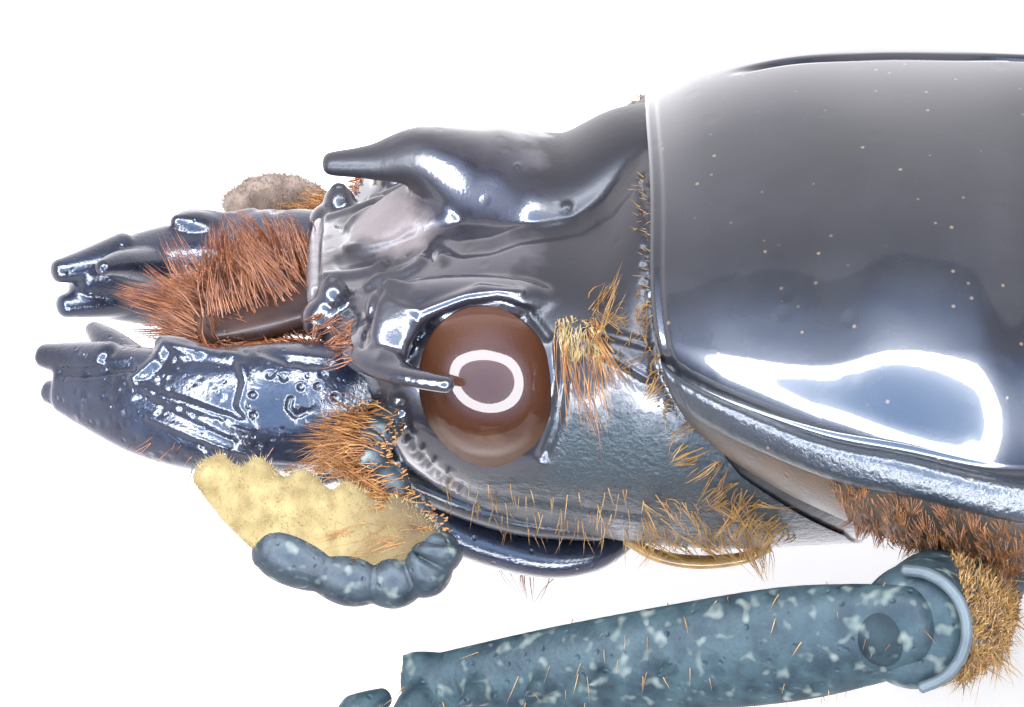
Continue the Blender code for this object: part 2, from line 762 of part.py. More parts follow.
def venter_ring(x, squeeze=1.0):
    half_width, bottom = read_rows(VENTER_ROWS, x)
    half_width = min(half_width, ELYTRA_HALF_WIDTH * declivity(x) - GAP)
    lid = ELYTRA_EDGE_Z - GAP
    return keel_ring(x, half_width, lid, squeeze * (lid - bottom), VENTER_ROUNDING, 14)


def build_metasternum():
    sternum = loft("metasternum", [venter_ring(x) for x in even(VENTER_ROWS[0][0], METASTERNUM_END_X, 8)])
    cut(sternum, leg_clearances("mid", "hind"))


def build_abdomen():
    """The belly, pinched a little at each joint between its rings."""
    stations = [(METASTERNUM_END_X + GAP, 1.0), (23.2, 1.0)]
    for x in ABDOMEN_JOINTS:
        stations.append((x - ABDOMEN_JOINT_HALF_WIDTH, 1.0))
        stations.append((x, ABDOMEN_JOINT_SQUEEZE))
        stations.append((x + ABDOMEN_JOINT_HALF_WIDTH, 1.0))
    stations += [(33.3, 1.0), (VENTER_ROWS[-1][0], 1.0)]
    belly = loft("abdomen", [venter_ring(x, squeeze) for x, squeeze in stations])
    cut(belly, leg_clearances("hind"))


def build_hind_body():
    build_waist()
    for side, word in SIDES:
        build_elytron(f"elytron_{word}", side)
    build_metasternum()
    build_abdomen()


# Legs


def leg_of(pair, side):
    return RIGHT_FORE_LEG if pair == "fore" and side > 0 else LEGS[pair]


def coxa(name, leg, side, grow=0.0):
    centre, hip = Vector(leg["coxa"]), Vector(leg["hip"])
    places = (centre, (centre + hip) / 2, hip)
    points = [mirrored((*place, *radii), side) for place, radii in zip(places, COXA_RADII)]
    return limb(name, points, 10, 4, grow=grow)


def femur(name, leg, side, grow=0.0):
    hip, knee, radius = Vector(leg["hip"]), Vector(leg["knee"]), leg["femur_radius"]
    points = []
    for share, swell in FEMUR_SWELL:
        place = hip.lerp(knee, share)
        points.append(mirrored((*place, FEMUR_FLATNESS * swell * radius + 0.08, swell * radius), side))
    return limb(name, points, 10, 7, grow=grow)


def leg_clearances(*pairs):
    """Grown copies of the hips and thighs, which the underside is cut back from."""
    grown = []
    for pair in pairs:
        for side, _ in SIDES:
            leg = leg_of(pair, side)
            grown.append(coxa("coxa_clearance", leg, side, GAP))
            grown.append(femur("femur_clearance", leg, side, GAP))
    return grown


def spike(name, root, tip, radius, side, steps=2):
    """A tapering tooth or spur."""
    middle = (root + tip) / 2
    points = [(*root, radius, radius), (*middle, 0.8 * radius, 0.8 * radius), (*tip, 0.07, 0.07)]
    return limb(name, [mirrored(point, side) for point in points], 5, steps, up=(1, 0, 0.3))


def build_tibia(name, leg, side):
    """The shin, from inside the knee to the ankle, with teeth on its outer edge and two spurs."""
    knee, ankle = Vector(leg["knee"]), Vector(leg["ankle"])
    slim, wide = leg["tibia_radii"]
    points = []
    for share, swell in leg["tibia_swell"]:
        place = knee.lerp(ankle, share)
        points.append((*place, max(TIBIA_LEAST_RADIUS, slim * swell), wide * swell))
    shin = limb(name, [mirrored(point, side) for point in points], 10, 7)
    along = (ankle - knee).normalized()
    outward = Vector((0, 1, 0.15))
    outward = (outward - along * outward.dot(along)).normalized()
    upward = along.cross(outward)
    spikes = []
    for k in range(leg["teeth"]):
        root = knee.lerp(ankle, TOOTH_START - TOOTH_SPACING * k)
        radius = TOOTH_RADIUS - TOOTH_TAPER * k
        reach = outward * (0.55 + 1.5 * radius) + along * 0.28
        spikes.append(spike("tooth", root, root + reach, radius, side))
    for turn in (-1, 1):
        root = knee.lerp(ankle, SPUR_START) + upward * turn * 0.34
        reach = leg["spur"] * (along + 0.45 * turn * upward)
        spikes.append(spike("spur", root, root + reach, SPUR_RADIUS, side, 3))
    fuse(shin, spikes)
    cut(shin, [femur("femur_clearance", leg, side, GAP)])


def foot_claws(foot, forward, side):
    """Two claws and the pad under the last segment."""
    across = forward.cross(Vector((0, 0, 1)))
    claws = []
    for turn in (-1, 1):
        sideways = across * turn * CLAW_SPREAD
        heel = foot + Vector((0, 0, 0.1))
        bend = foot + forward * 0.55 * CLAW_LENGTH + 0.7 * sideways + Vector((0, 0, 0.12))
        tip = foot + forward * CLAW_LENGTH + sideways - Vector((0, 0, foot.z))
        points = [(*heel, 0.18, 0.2), (*bend, 0.15, 0.17), (*tip, 0.07, 0.07)]
        claws.append(limb("claw", [mirrored(point, side) for point in points], 5, 4))
    sole = foot - Vector((0, 0, 0.03))
    pad = [(*place, PAD_RADIUS, PAD_RADIUS) for place in (sole, sole - forward * PAD_LENGTH)]
    claws.append(limb("pad", [mirrored(point, side) for point in pad], 6, 1))
    return claws


def build_tarsus(name, leg, side):
    """Five small segments, a pad and two claws, cut flat where they touch the floor."""
    ankle, foot = Vector(leg["ankle"]), Vector(leg["foot"])
    start = ankle + (ankle - Vector(leg["knee"])).normalized() * TARSUS_START
    lift = Vector((0, 0, 0.12))
    middle = (start + foot) / 2 + lift
    route = [tuple(start), tuple(middle), tuple(foot + lift)]
    steps = 2 * TARSUS_SEGMENTS
    points = []
    for k in range(steps + 1):
        radius = TARSUS_RADIUS * (0.85 if k % 2 == 0 else 1.0)
        points.append(mirrored((*curve_point(route, k / steps), radius, radius), side))
    toes = limb(name, points, 6, steps, ends=(0.1, 0.5))
    forward = foot - middle
    forward.z = 0
    fuse(toes, foot_claws(foot, forward.normalized(), side))
    cut(toes, [block("floor", [(-20, -3), (50, -3), (50, 0), (-20, 0)], 20)])


def build_legs():
    for pair in LEGS:
        for side, word in SIDES:
            leg = leg_of(pair, side)
            coxa(f"coxa_{pair}_{word}", leg, side)
            thigh = femur(f"femur_{pair}_{word}", leg, side)
            cut(thigh, [coxa("coxa_clearance", leg, side, GAP)])
            build_tibia(f"tibia_{pair}_{word}", leg, side)
            build_tarsus(f"tarsus_{pair}_{word}", leg, side)


# Finishing


def finish_of(name):
    for start, finish in NODE_FINISHES.items():
        if name.startswith(start):
            return FINISHES[finish]
    return FINISHES["black"]


def finish_nodes():
    """Gives every node its own material and smooth shading, and centres the beetle's length."""
    for obj in list(bpy.data.objects):
        colour, roughness = finish_of(obj.name)
        material = bpy.data.materials.new(obj.name)
        material.use_nodes = True
        shader = material.node_tree.nodes["Principled BSDF"]
        shader.inputs["Base Color"].default_value = (*colour, 1)
        shader.inputs["Roughness"].default_value = roughness
        obj.data.materials.clear()
        obj.data.materials.append(material)
        obj.data.shade_smooth()
        obj.data.set_sharp_from_angle(angle=SMOOTH_ANGLE)
        obj.matrix_world = Matrix.Translation((-CENTRE_X * MM, 0, 0))


def main():
    clear_scene()
    build_head()
    build_eyes()
    build_horn()
    build_mouth()
    build_antennae()
    build_pronotum()
    build_prosternum()
    build_hind_body()
    build_legs()
    finish_nodes()


main()
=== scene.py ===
"""The dressed horned bess beetle: fine skins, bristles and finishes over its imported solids.

Lengths are millimetres and MM turns them to metres. The head points to -X, the left side is -Y
and the floor is Z = 0. X is counted from the middle of the eyes while a piece is shaped, and
`finish` then sets it where the solids are, CENTRE_X further forward. Places are given for one
side as if it were +Y, and `mirrored` sets them on the left or right.
"""

import json
import math

import bpy
import numpy as np
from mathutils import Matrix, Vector

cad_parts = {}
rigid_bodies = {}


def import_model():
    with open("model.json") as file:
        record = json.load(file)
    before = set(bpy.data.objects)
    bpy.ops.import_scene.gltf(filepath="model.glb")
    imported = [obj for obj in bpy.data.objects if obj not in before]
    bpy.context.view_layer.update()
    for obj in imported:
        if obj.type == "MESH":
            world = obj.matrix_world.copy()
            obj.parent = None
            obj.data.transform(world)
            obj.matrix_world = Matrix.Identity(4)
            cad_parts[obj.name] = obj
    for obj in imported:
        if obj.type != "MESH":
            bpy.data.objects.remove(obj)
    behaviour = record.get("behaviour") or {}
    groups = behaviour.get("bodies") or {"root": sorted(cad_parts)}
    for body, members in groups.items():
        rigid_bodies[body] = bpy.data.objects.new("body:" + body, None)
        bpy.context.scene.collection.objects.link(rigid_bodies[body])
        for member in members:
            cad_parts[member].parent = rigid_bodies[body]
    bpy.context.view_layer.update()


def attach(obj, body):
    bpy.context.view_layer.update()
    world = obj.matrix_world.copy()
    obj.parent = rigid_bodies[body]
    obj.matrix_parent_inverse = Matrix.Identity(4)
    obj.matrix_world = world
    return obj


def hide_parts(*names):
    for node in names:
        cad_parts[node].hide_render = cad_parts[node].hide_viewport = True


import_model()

MM = 0.001
CENTRE_X = 14.0
SIDES = ((-1, "left"), (1, "right"))
SEED = 7

# Head rows read x, half width, top, height of the widest line, bottom
HEAD_ROWS = [
    (-2.85, 2.15, 6.70, 6.20, 5.75),
    (-2.35, 3.00, 6.82, 5.75, 4.85),
    (-1.70, 3.62, 7.05, 5.50, 3.80),
    (-0.90, 3.92, 7.38, 5.40, 3.10),
    (0.00, 4.05, 7.60, 5.40, 2.70),
    (1.00, 4.18, 7.72, 5.40, 2.50),
    (2.00, 4.35, 8.58, 5.40, 2.35),
    (3.20, 4.40, 8.60, 5.20, 2.30),
    (5.40, 4.20, 8.20, 4.80, 2.45),
]
HEAD_POWERS = (2.5, 2.0)
EYE_CENTRE = (-0.35, 3.82, 5.84)
EYE_RADII = (1.0, 0.72, 1.24)
EYE_LEAN = 0.07
# The eye is round above and below its most outward height, and steep like a cone near its rim.
EYE_CREST = -0.07
EYE_ROUND = 1.15
EYE_STEEP_FROM = 0.777
EYE_ROUND_ACROSS = 1.42
# The slanting joint between head and prothorax: z, x. The head's skin reaches a little past it.
NECK_PROFILE = [(2.0, 5.35), (3.35, 4.7), (4.65, 3.15), (5.85, 2.3), (7.1, 1.9), (8.6, 1.88), (9.4, 1.74)]
NECK_OVERLAP = 0.16

# Limbs are lists of points that read x, y, z, radius across, radius upward
CANTHUS = [
    (-1.9, 2.7, 6.3, 0.5, 0.3),
    (-2.05, 3.7, 6.3, 0.42, 0.24),
    (-1.6, 4.45, 6.28, 0.26, 0.15),
    (-0.9, 4.85, 6.26, 0.16, 0.13),
]
BROW = [
    (-1.9, 2.95, 6.72, 0.45, 0.32),
    (-1.3, 3.15, 6.88, 0.55, 0.38),
    (-0.5, 3.2, 6.96, 0.56, 0.36),
    (0.15, 3.15, 6.97, 0.42, 0.28),
    (0.75, 3.05, 6.92, 0.16, 0.12),
]
# The flat face in front of the eye, from the brow down to the canthus
TEMPLE = [
    (-1.6, 3.1, 7.0, 0.3, 0.36),
    (-1.68, 3.5, 6.7, 0.3, 0.34),
    (-1.8, 3.8, 6.36, 0.26, 0.3),
]
HORN = [
    (2.3, 0.0, 8.35, 1.1, 0.5),
    (1.7, 0.0, 8.1, 1.3, 0.65),
    (1.0, 0.0, 7.55, 1.5, 0.85),
    (0.2, 0.0, 7.4, 1.6, 0.98),
    (-0.6, 0.0, 7.65, 1.1, 0.92),
    (-1.35, 0.0, 8.05, 0.62, 0.5),
    (-2.05, 0.0, 8.0, 0.37, 0.26),
    (-2.72, 0.0, 7.97, 0.22, 0.17),
]
# The wall under the horn's free part
HORN_WALL = [(-0.9, 0.0, 7.3, 1.1, 0.5), (-1.6, 0.0, 7.15, 0.9, 0.35), (-2.3, 0.0, 6.75, 0.9, 0.2)]
CLYPEUS_KNOBS = (((-2.62, 2.1, 6.66), (0.25, 0.26, 0.25)), ((-2.82, 2.15, 6.3), (0.28, 0.3, 0.3)))
THROAT_FOLD = [
    (1.7, 2.25, 2.85, 0.08, 0.08),
    (2.15, 2.3, 2.62, 0.12, 0.09),
    (2.75, 2.3, 2.52, 0.14, 0.1),
    (3.4, 2.3, 2.58, 0.12, 0.09),
    (3.8, 2.3, 2.76, 0.08, 0.08),
]
CLYPEUS_RIM = [(-2.9, -1.5, 6.4, 0.12, 0.2), (-2.94, 0.0, 6.45, 0.13, 0.22), (-2.9, 1.5, 6.4, 0.12, 0.2)]
MANDIBLE = [
    (-2.0, 2.6, 5.3, 0.6, 0.7),
    (-2.35, 2.75, 5.25, 0.72, 0.8),
    (-3.2, 2.95, 5.22, 0.84, 0.95),
    (-4.3, 3.0, 5.18, 0.8, 0.92),
    (-5.2, 2.8, 5.22, 0.62, 0.82),
    (-6.0, 2.4, 5.3, 0.45, 0.66),
    (-6.55, 2.1, 5.33, 0.3, 0.5),
]
MANDIBLE_TEETH = {
    "upper": [(-5.9, 2.45, 5.7, 0.34, 0.34), (-6.45, 2.1, 5.64, 0.29, 0.26), (-6.9, 1.87, 5.62, 0.19, 0.18)],
    "lower": [(-5.9, 2.4, 5.05, 0.34, 0.34), (-6.45, 2.1, 5.06, 0.29, 0.26), (-6.82, 1.87, 5.06, 0.19, 0.18)],
    "inner": [(-5.4, 2.4, 5.5, 0.34, 0.34), (-5.9, 1.8, 5.76, 0.26, 0.22), (-6.2, 1.35, 5.86, 0.13, 0.12)],
    "back": [(-4.4, 3.05, 5.75, 0.35, 0.35), (-4.85, 2.85, 6.0, 0.3, 0.26), (-5.15, 2.7, 6.15, 0.1, 0.1)],
    "grinding": [(-4.2, 2.9, 5.0, 0.4, 0.4), (-4.6, 2.2, 5.0, 0.3, 0.3), (-4.85, 1.7, 5.0, 0.12, 0.14)],
}
# The jaws' outer faces lean up by this angle.
MANDIBLE_LEAN = math.radians(20)
LABRUM = [
    (-2.6, 0.0, 6.04, 1.3, 0.34),
    (-3.15, 0.0, 5.97, 1.45, 0.32),
    (-3.7, 0.0, 5.88, 1.6, 0.32),
    (-4.35, 0.0, 5.75, 1.5, 0.28),
    (-4.6, 0.0, 5.7, 1.3, 0.25),
]
LABIUM = [
    (-2.6, 0.0, 3.75, 1.2, 0.35),
    (-1.8, 0.0, 3.3, 1.75, 0.5),
    (-0.8, 0.0, 2.75, 2.05, 0.55),
    (0.4, 0.0, 2.38, 2.1, 0.52),
    (1.2, 0.0, 2.35, 1.9, 0.45),
    (1.75, 0.0, 2.5, 1.5, 0.3),
]
MAXILLARY_PALP = [(-1.5, 2.1, 4.1), (-2.6, 2.3, 4.0), (-3.3, 2.1, 4.12), (-3.95, 1.75, 4.25)]
LABIAL_PALP = [(-2.6, 0.9, 3.6), (-3.15, 0.95, 3.75), (-3.6, 1.0, 3.9), (-4.1, 0.85, 4.05)]
PALP_SEGMENTS = 3
# The blunt lobes beside the tongue, which fill the mouth behind the jaws
MAXILLA = [
    (-2.4, 1.5, 5.1, 0.4, 0.45),
    (-3.4, 1.45, 5.28, 0.42, 0.44),
    (-4.3, 1.3, 5.36, 0.3, 0.32),
    (-4.8, 1.1, 5.4, 0.12, 0.12),
]
# The soft skin between the chin plate and the head
CHIN_SKIN = [
    (-2.3, 0.0, 4.1, 1.9, 0.5),
    (-1.4, 0.0, 3.75, 2.5, 0.55),
    (0.0, 0.0, 3.25, 2.6, 0.6),
    (1.3, 0.0, 2.95, 2.3, 0.45),
]
# Each club's shaft runs from the stalk to its end, and its leaves stand off it in that order.
ANTENNAE = {
    "left": {
        "stalk": [
            (-1.75, 3.3, 5.2), (-2.0, 4.1, 5.15), (-2.05, 4.5, 5.0), (-1.5, 5.1, 4.5), (-1.05, 5.45, 4.1),
        ],
        "club": [
            (-1.1, 5.5, 4.1), (-1.2, 5.6, 3.78), (-1.7, 5.65, 3.58), (-2.5, 5.65, 3.66), (-3.5, 5.6, 4.08),
        ],
        "leaves": [
            (-1.8, 5.55, 4.6), (-2.5, 5.5, 4.8), (-3.15, 5.5, 5.0), (-3.78, 5.5, 5.18), (-4.34, 5.5, 5.24),
        ],
        "leaf_radii": ((0.2, 0.3), (0.22, 0.36), (0.18, 0.3)),
        "shaft": 0.4,
    },
    "right": {
        "stalk": [(-1.75, 3.3, 5.2), (-2.2, 4.55, 5.3), (-2.6, 5.4, 5.3), (-3.0, 6.0, 5.15)],
        "club": [(-3.0, 6.05, 5.15), (-3.35, 6.2, 5.08), (-3.9, 6.15, 5.08), (-4.3, 5.9, 5.15)],
        "leaves": [
            (-3.2, 5.85, 5.56), (-3.45, 5.8, 5.7), (-3.75, 5.75, 5.75), (-4.05, 5.7, 5.7), (-4.3, 5.65, 5.52),
        ],
        "leaf_radii": ((0.2, 0.24), (0.2, 0.26), (0.16, 0.2)),
        "shaft": 0.24,
    },
}
STALK_BEADS = 7

# Prothorax rows read x, half width, top, height of the side edge, bottom, the radius of the
# arch's side, and how far inside and above the side edge the arch's foot is
PROTHORAX_ROWS = [
    (2.10, 5.00, 8.80, 6.22, 4.10, 0.60, 0.40, 0.34),
    (2.35, 5.30, 8.96, 6.07, 3.75, 0.70, 0.42, 0.34),
    (3.00, 5.72, 9.26, 5.84, 3.20, 0.95, 0.42, 0.36),
    (4.20, 6.25, 9.56, 5.50, 2.75, 1.25, 0.42, 0.46),
    (5.40, 6.56, 9.64, 5.36, 2.55, 1.80, 0.42, 0.47),
    (6.60, 6.62, 9.64, 5.08, 2.48, 2.15, 0.46, 0.48),
    (7.60, 6.52, 9.62, 4.90, 2.45, 2.20, 0.66, 0.48),
    (8.60, 6.46, 9.56, 4.84, 2.48, 2.15, 0.74, 0.48),
    (9.80, 6.40, 9.44, 4.84, 2.55, 1.95, 0.74, 0.48),
    (11.0, 6.15, 9.18, 4.96, 2.75, 1.40, 0.70, 0.48),
    (11.6, 5.80, 8.92, 5.10, 2.95, 1.00, 0.60, 0.48),
    (11.9, 5.30, 8.58, 5.30, 3.20, 0.80, 0.50, 0.46),
]
# The normal's slope where the arch's side turns into its flank, and the flank into its top
SIDE_SLOPE = math.radians(44)
TOP_SLOPE = math.radians(70)
# The flat bead along the side edge, outward and up from that edge: y, z
SIDE_BEAD = [
    (-0.3, 0.36), (-0.1, 0.37), (0.0, 0.29), (0.03, 0.1), (0.02, -0.08), (-0.05, -0.2), (-0.2, -0.27),
]
GUTTER_DEPTH = 0.08
BEAD_STEPS = 30
# The gap that the shield's front edge keeps to the head, and the height of the fine rim along it
COLLAR_GAP = 0.12
RIM_HEIGHT = 0.012
# The groove along the midline: its size, and where it starts, is full, grows shallow and ends
SULCUS_DEPTH = 0.13
SULCUS_HALF_WIDTH = 0.16
SULCUS_FRONT = (3.3, 4.2)
SULCUS_BACK = (11.0, 11.6)
# How far the prothorax's underside lies below and inside the side edge, and how square it is
PROSTERNUM_DROP = 0.1
PROSTERNUM_INSET = 0.12
PROSTERNUM_ROUNDING = 1.05
PEDICEL_ROWS = [
    (11.8, 4.30, 7.80, 5.30, 3.00),
    (12.60, 4.70, 8.10, 5.30, 2.60),
    (13.60, 5.00, 8.20, 5.30, 2.45),
]
PEDICEL_POWERS = (2.4, 2.2)
# Corners of the scutellum from its front edge to its tip: x, half width, top
SCUTELLUM = [(12.2, 1.6, 8.45), (13.25, 1.6, 8.75), (15.1, 0.0, 9.3)]
SCUTELLUM_FLOOR = 7.6
SCUTELLUM_BEVEL = 0.15

# Wing cases
ELYTRA_START_X = 13.4
ELYTRA_END_X = 35.0
# The last sections, where the wing cases close behind
ELYTRA_LAST_X = [35.03, 35.06, 35.085]
ELYTRA_HALF_WIDTH = 6.8
ELYTRA_TOP = 9.35
ELYTRA_EDGE_Z = 4.5
ELYTRA_POWER = 2.5
SHOULDER_START = 0.86
SHOULDER_LENGTH = 2.4
DECLIVITY_X = 28.0
DECLIVITY_END_X = 35.1
DECLIVITY_POWER = 2.3
STRIAE = 10
STRIA_DEPTH = 0.1
STRIA_HALF_WIDTH = 0.17
STRIA_PIT_SPACING = 0.36
STRIA_PIT_DEPTH = 0.09
STRIA_PIT_RADIUS = 0.13
STRIAE_START = (13.5, 14.6)
SEAM_GAP = 0.02

# Underside rows behind the waist read x, half width, lowest point
VENTER_ROWS = [
    (13.40, 5.50, 2.55),
    (15.00, 6.10, 2.15),
    (18.00, 6.30, 2.00),
    (21.80, 6.35, 2.10),
    (26.00, 6.30, 2.45),
    (30.00, 5.60, 2.95),
    (33.00, 3.90, 3.45),
    (34.00, 2.10, 3.85),
]
VENTER_ROUNDING = 0.8
# How far it stays inside and below the edges of the wing cases
VENTER_INSET = 0.25
VENTER_DROP = 0.05
METASTERNUM_START_X = 13.2
METASTERNUM_END_X = 21.9
ABDOMEN_JOINTS = (24.4, 26.5, 28.4, 30.2, 32.0)
JOINT_PINCH = 0.06
JOINT_HALF_WIDTH = 0.14

# What the mid and hind legs have alike. Swells read shares of the length of a femur or tibia, and
# its width there as a share of the widest.
WALKING_LEG = {
    "femur_radius": 0.85,
    "femur_flatness": 0.62,
    "tibia_radii": (0.38, 0.52),
    "femur_swell": ((0.0, 0.6), (0.25, 0.88), (0.55, 1.0), (0.8, 0.86), (0.95, 0.74), (1.0, 0.64)),
    "tibia_swell": ((0.0, 0.62), (0.12, 0.68), (0.3, 0.9), (0.6, 1.0), (0.9, 0.92), (0.985, 0.8)),
    "spur": 1.15,
}
# Legs: places run from the coxa through the hip and the knee to the tibia's end and the claws.
LEG_PLACES = ("coxa", "hip", "knee", "ankle", "foot")
LEGS = {
    "fore": {
        "coxa": (6.9, 2.3, 2.9),
        "hip": (6.8, 3.3, 2.35),
        "knee": (5.6, 8.0, 3.78),
        "ankle": (-1.5, 6.0, 1.95),
        "foot": (-5.0, 7.3, 0.2),
        "femur_radius": 0.95,
        "femur_flatness": 0.85,
        "tibia_radii": (0.42, 0.72),
        "femur_swell": ((0.0, 0.6), (0.25, 0.9), (0.55, 1.0), (0.8, 0.95), (0.93, 0.94), (1.0, 0.88)),
        "tibia_swell": ((0.0, 0.9), (0.1, 1.06), (0.24, 1.18), (0.45, 1.12), (0.72, 0.96), (0.985, 0.7)),
        "spur": 0.5,
        "teeth": 5,
    },
    "mid": {
        "coxa": (15.2, 2.4, 2.6),
        "hip": (15.3, 3.5, 2.15),
        "knee": (16.2, 9.2, 4.3),
        "ankle": (19.4, 13.0, 1.5),
        "foot": (23.0, 14.6, 0.2),
        **WALKING_LEG,
        "teeth": 2,
    },
    "hind": {
        "coxa": (20.4, 2.2, 2.5),
        "hip": (21.0, 3.4, 2.15),
        "knee": (26.2, 8.7, 4.2),
        "ankle": (29.9, 12.3, 1.5),
        "foot": (33.6, 13.9, 0.2),
        **WALKING_LEG,
        "teeth": 1,
    },
}
RIGHT_FORE_LEG = {
    **LEGS["fore"],
    "knee": (6.9, 8.05, 4.0),
    "ankle": (1.4, 12.6, 1.95),
    "foot": (-1.2, 14.6, 0.2),
}
COXA_RADII = ((0.75, 0.7), (0.85, 0.75), (0.6, 0.55))
CUFF_RADIUS = 0.085
CUFF_REACH = math.radians(85)
KNEE_BALL = (0.5, 0.4, 0.5)
KNEE_BALL_REACH = 0.1
KNEE_BALL_SHARE = 0.05
CUFF_LIFT = 0.22
TIBIA_LEAST_RADIUS = 0.27
TOOTH_START = 0.95
TOOTH_SPACING = 0.13
TOOTH_RADIUS = 0.3
TOOTH_TAPER = 0.03
TOOTH_REACH = 0.55
TOOTH_LEAN = 0.28
SPUR_START = 0.93
SPUR_RADIUS = 0.22
SPUR_PLACE = 0.34
SPUR_SPREAD = 0.45
TARSUS_GAP = 0.35
TARSUS_SEGMENTS = 5
TARSUS_RADIUS = 0.27
TARSUS_LIFT = 0.12
# Shares of a foot segment's length, and its radius there as a share of the foot's
SEGMENT_SWELL = ((0.0, 0.55), (0.5, 0.85), (0.85, 1.05), (1.0, 0.9))
CLAW_LENGTH = 0.75
CLAW_SPREAD = 0.42
CLAW_RADII = ((0.13, 0.16), (0.1, 0.13), (0.05, 0.05))
PAD_LENGTH = 0.7
PAD_RADIUS = 0.2

# How much of a limb's length is looked ahead and behind for its direction, and its rings per dome
LIMB_LOOK = 0.02
DOME_RINGS = 5

# Hairs: share of the length and of the width at each ring, how deep the root is sunk, how far the
# tips of a tuft are drawn together, the size of a hair's patch on the unrolled skin, and the axis
# and length that the skin is unrolled by
HAIR_TAPER = ((0.0, 1.0), (0.3, 0.9), (0.6, 0.65), (0.85, 0.35))
HAIR_ROOT = 0.04
TUFT_PULL = 0.72
HAIR_PATCH = 0.003
BODY_AXIS_Z = 5.0
BODY_LENGTH = 45.0

# The photo's view: the point aimed at, and the camera's distance, height angle and lens
AIM = (0.0, -2.0, 5.7)
CAMERA_DISTANCE = 110.0
CAMERA_ELEVATION = math.radians(20)
LENS = 263.0
SENSOR = 36.0
PHOTO_SIZE = (1024, 707)
# The ring lamp round the lens: its distance from the point aimed at, and its radii
RING_DISTANCE = 60.0
RING_INNER = 36.5
RING_OUTER = 60.0
HALO_OUTER = 150.0
# Its halo is full up to the first distance and gone at the second
HALO_FADE = (60.0, 125.0)
HALO_STRENGTH = 2.2

# Finishes
CHITIN_IOR = 1.56
MOTE_SPACING = 0.24
FACET_SPACING = 0.035
# Behind these places along X the club's leaves start to darken, and are dark
CLUB_BASE = (-2.3, -1.0)
# A node that mixes colours, and which of its outputs holds the colour
COLOURS = {"output": 2, "data_type": "RGBA"}

# Reliefs by where they show in the photo, in pixels: a route, its half width there, and its height
HEAD_RELIEFS = [
    ([(435, 234), (461, 242), (491, 239), (516, 229), (548, 225), (576, 220), (605, 202), (631, 163)],
     5, 0.022),
    ([(437, 245), (462, 253), (491, 250), (518, 240), (550, 236), (580, 231), (610, 212), (636, 180)],
     7, -0.025),
    ([(346, 249), (374, 246), (395, 242), (411, 232)], 6, 0.07),
    ([(325, 277), (353, 275), (374, 271), (384, 263)], 6, 0.08),
    ([(367, 288), (380, 278), (402, 275), (416, 267), (423, 260)], 6, 0.08),
    ([(340, 262), (372, 259), (396, 254)], 9, -0.06),
    ([(380, 289), (374, 306), (363, 345)], 5, -0.06),
    ([(388, 262), (404, 256), (420, 244)], 8, -0.05),
    ([(442, 258)], 11, 0.07),
    ([(567, 208)], 8, 0.06),
    ([(517, 166)], 4, 0.04),
    ([(590, 331), (616, 336), (648, 345)], 8, 0.08),
    ([(600, 352), (622, 360), (648, 376)], 8, 0.08),
    ([(560, 345), (562, 380), (556, 425), (545, 455)], 9, -0.1),
    ([(419, 340), (440, 318), (470, 305), (500, 301), (530, 312), (548, 336)], 7, -0.08),
    ([(640, 180), (646, 230), (648, 300), (655, 370), (690, 432)], 5, -0.05),
    ([(400, 400), (413, 449), (437, 475), (475, 495), (560, 505), (640, 515)], 7, -0.06),
]
TEMPLE_PATCH = [
    (374, 300), (386, 288), (402, 298), (419, 303), (450, 291), (479, 281), (527, 286), (528, 300),
    (494, 303), (462, 308), (430, 322), (412, 345), (408, 366), (375, 362), (366, 335),
]
# Small pits along the nape, in two staggered rows, and bright beads along the rim below the eye
NAPE_PITS = [(643 + 7 * (k % 2), 176 + 9 * k) for k in range(14)]
EYE_BEADS = [
    (401, 405), (400, 417), (402, 430), (407, 441), (413, 450), (420, 459), (428, 467),
    (437, 475), (447, 483), (459, 490), (412, 433), (422, 447), (434, 459), (448, 470),
]
JAW_FACET = [
    (164, 344), (190, 350), (238, 356), (246, 382), (240, 405), (253, 427), (206, 411), (186, 404),
    (155, 394), (131, 380), (153, 362),
]
JAW_PITS = [(270, 375), (284, 378), (301, 387), (318, 386), (335, 397), (323, 374), (253, 395), (253, 415)]
# Shallow dents over the jaw's face: how many, between which places, how wide and how deep
JAW_DENTS = 90
JAW_DENTS_ACROSS = (70, 330)
JAW_DENTS_DOWN = (350, 460)
JAW_DENT_WIDTHS = (3, 6)
JAW_DENT_DEPTH = 0.02
JAW_RELIEFS = [
    ([(291, 399), (289, 408), (296, 416), (306, 412)], 5, -0.06),
    ([(142, 398), (180, 418), (233, 444)], 7, -0.035),
    ([(150, 418), (205, 440), (262, 458), (330, 463)], 6, 0.035),
    ([(60, 372), (85, 372), (130, 366)], 9, -0.07),
    ([(262, 350), (290, 360), (330, 365)], 8, -0.05),
]
# Where hairs grow, as outlines in the photo
LIP_PATCH = [(205, 190), (330, 190), (330, 350), (215, 350)]
LIP_SIDE_PATCH = [(185, 300), (330, 296), (330, 350), (190, 350)]
LIP_FRONT_PATCH = [(150, 190), (235, 190), (235, 350), (150, 350)]
KNOB_TUFT_PATCH = [(312, 312), (354, 312), (354, 365), (316, 365)]
EYE_TUFT_PATCH = [(556, 318), (596, 318), (604, 352), (562, 356)]
CHEEK_SPRAY_PATCH = [(585, 300), (640, 290), (652, 380), (600, 372)]
NAPE_PATCH = [(634, 170), (652, 176), (658, 300), (640, 300)]
COLLAR_PATCH = [
    (640, 300), (662, 300), (676, 395), (705, 445), (765, 500), (800, 540), (740, 530), (680, 450),
    (650, 390),
]
JOWL_PATCH = [(430, 472), (540, 490), (645, 488), (645, 545), (540, 540), (440, 505)]
THROAT_PATCH = [(640, 495), (760, 500), (775, 556), (640, 556)]
CHIN_PATCH = [(490, 540), (555, 545), (555, 580), (495, 570)]
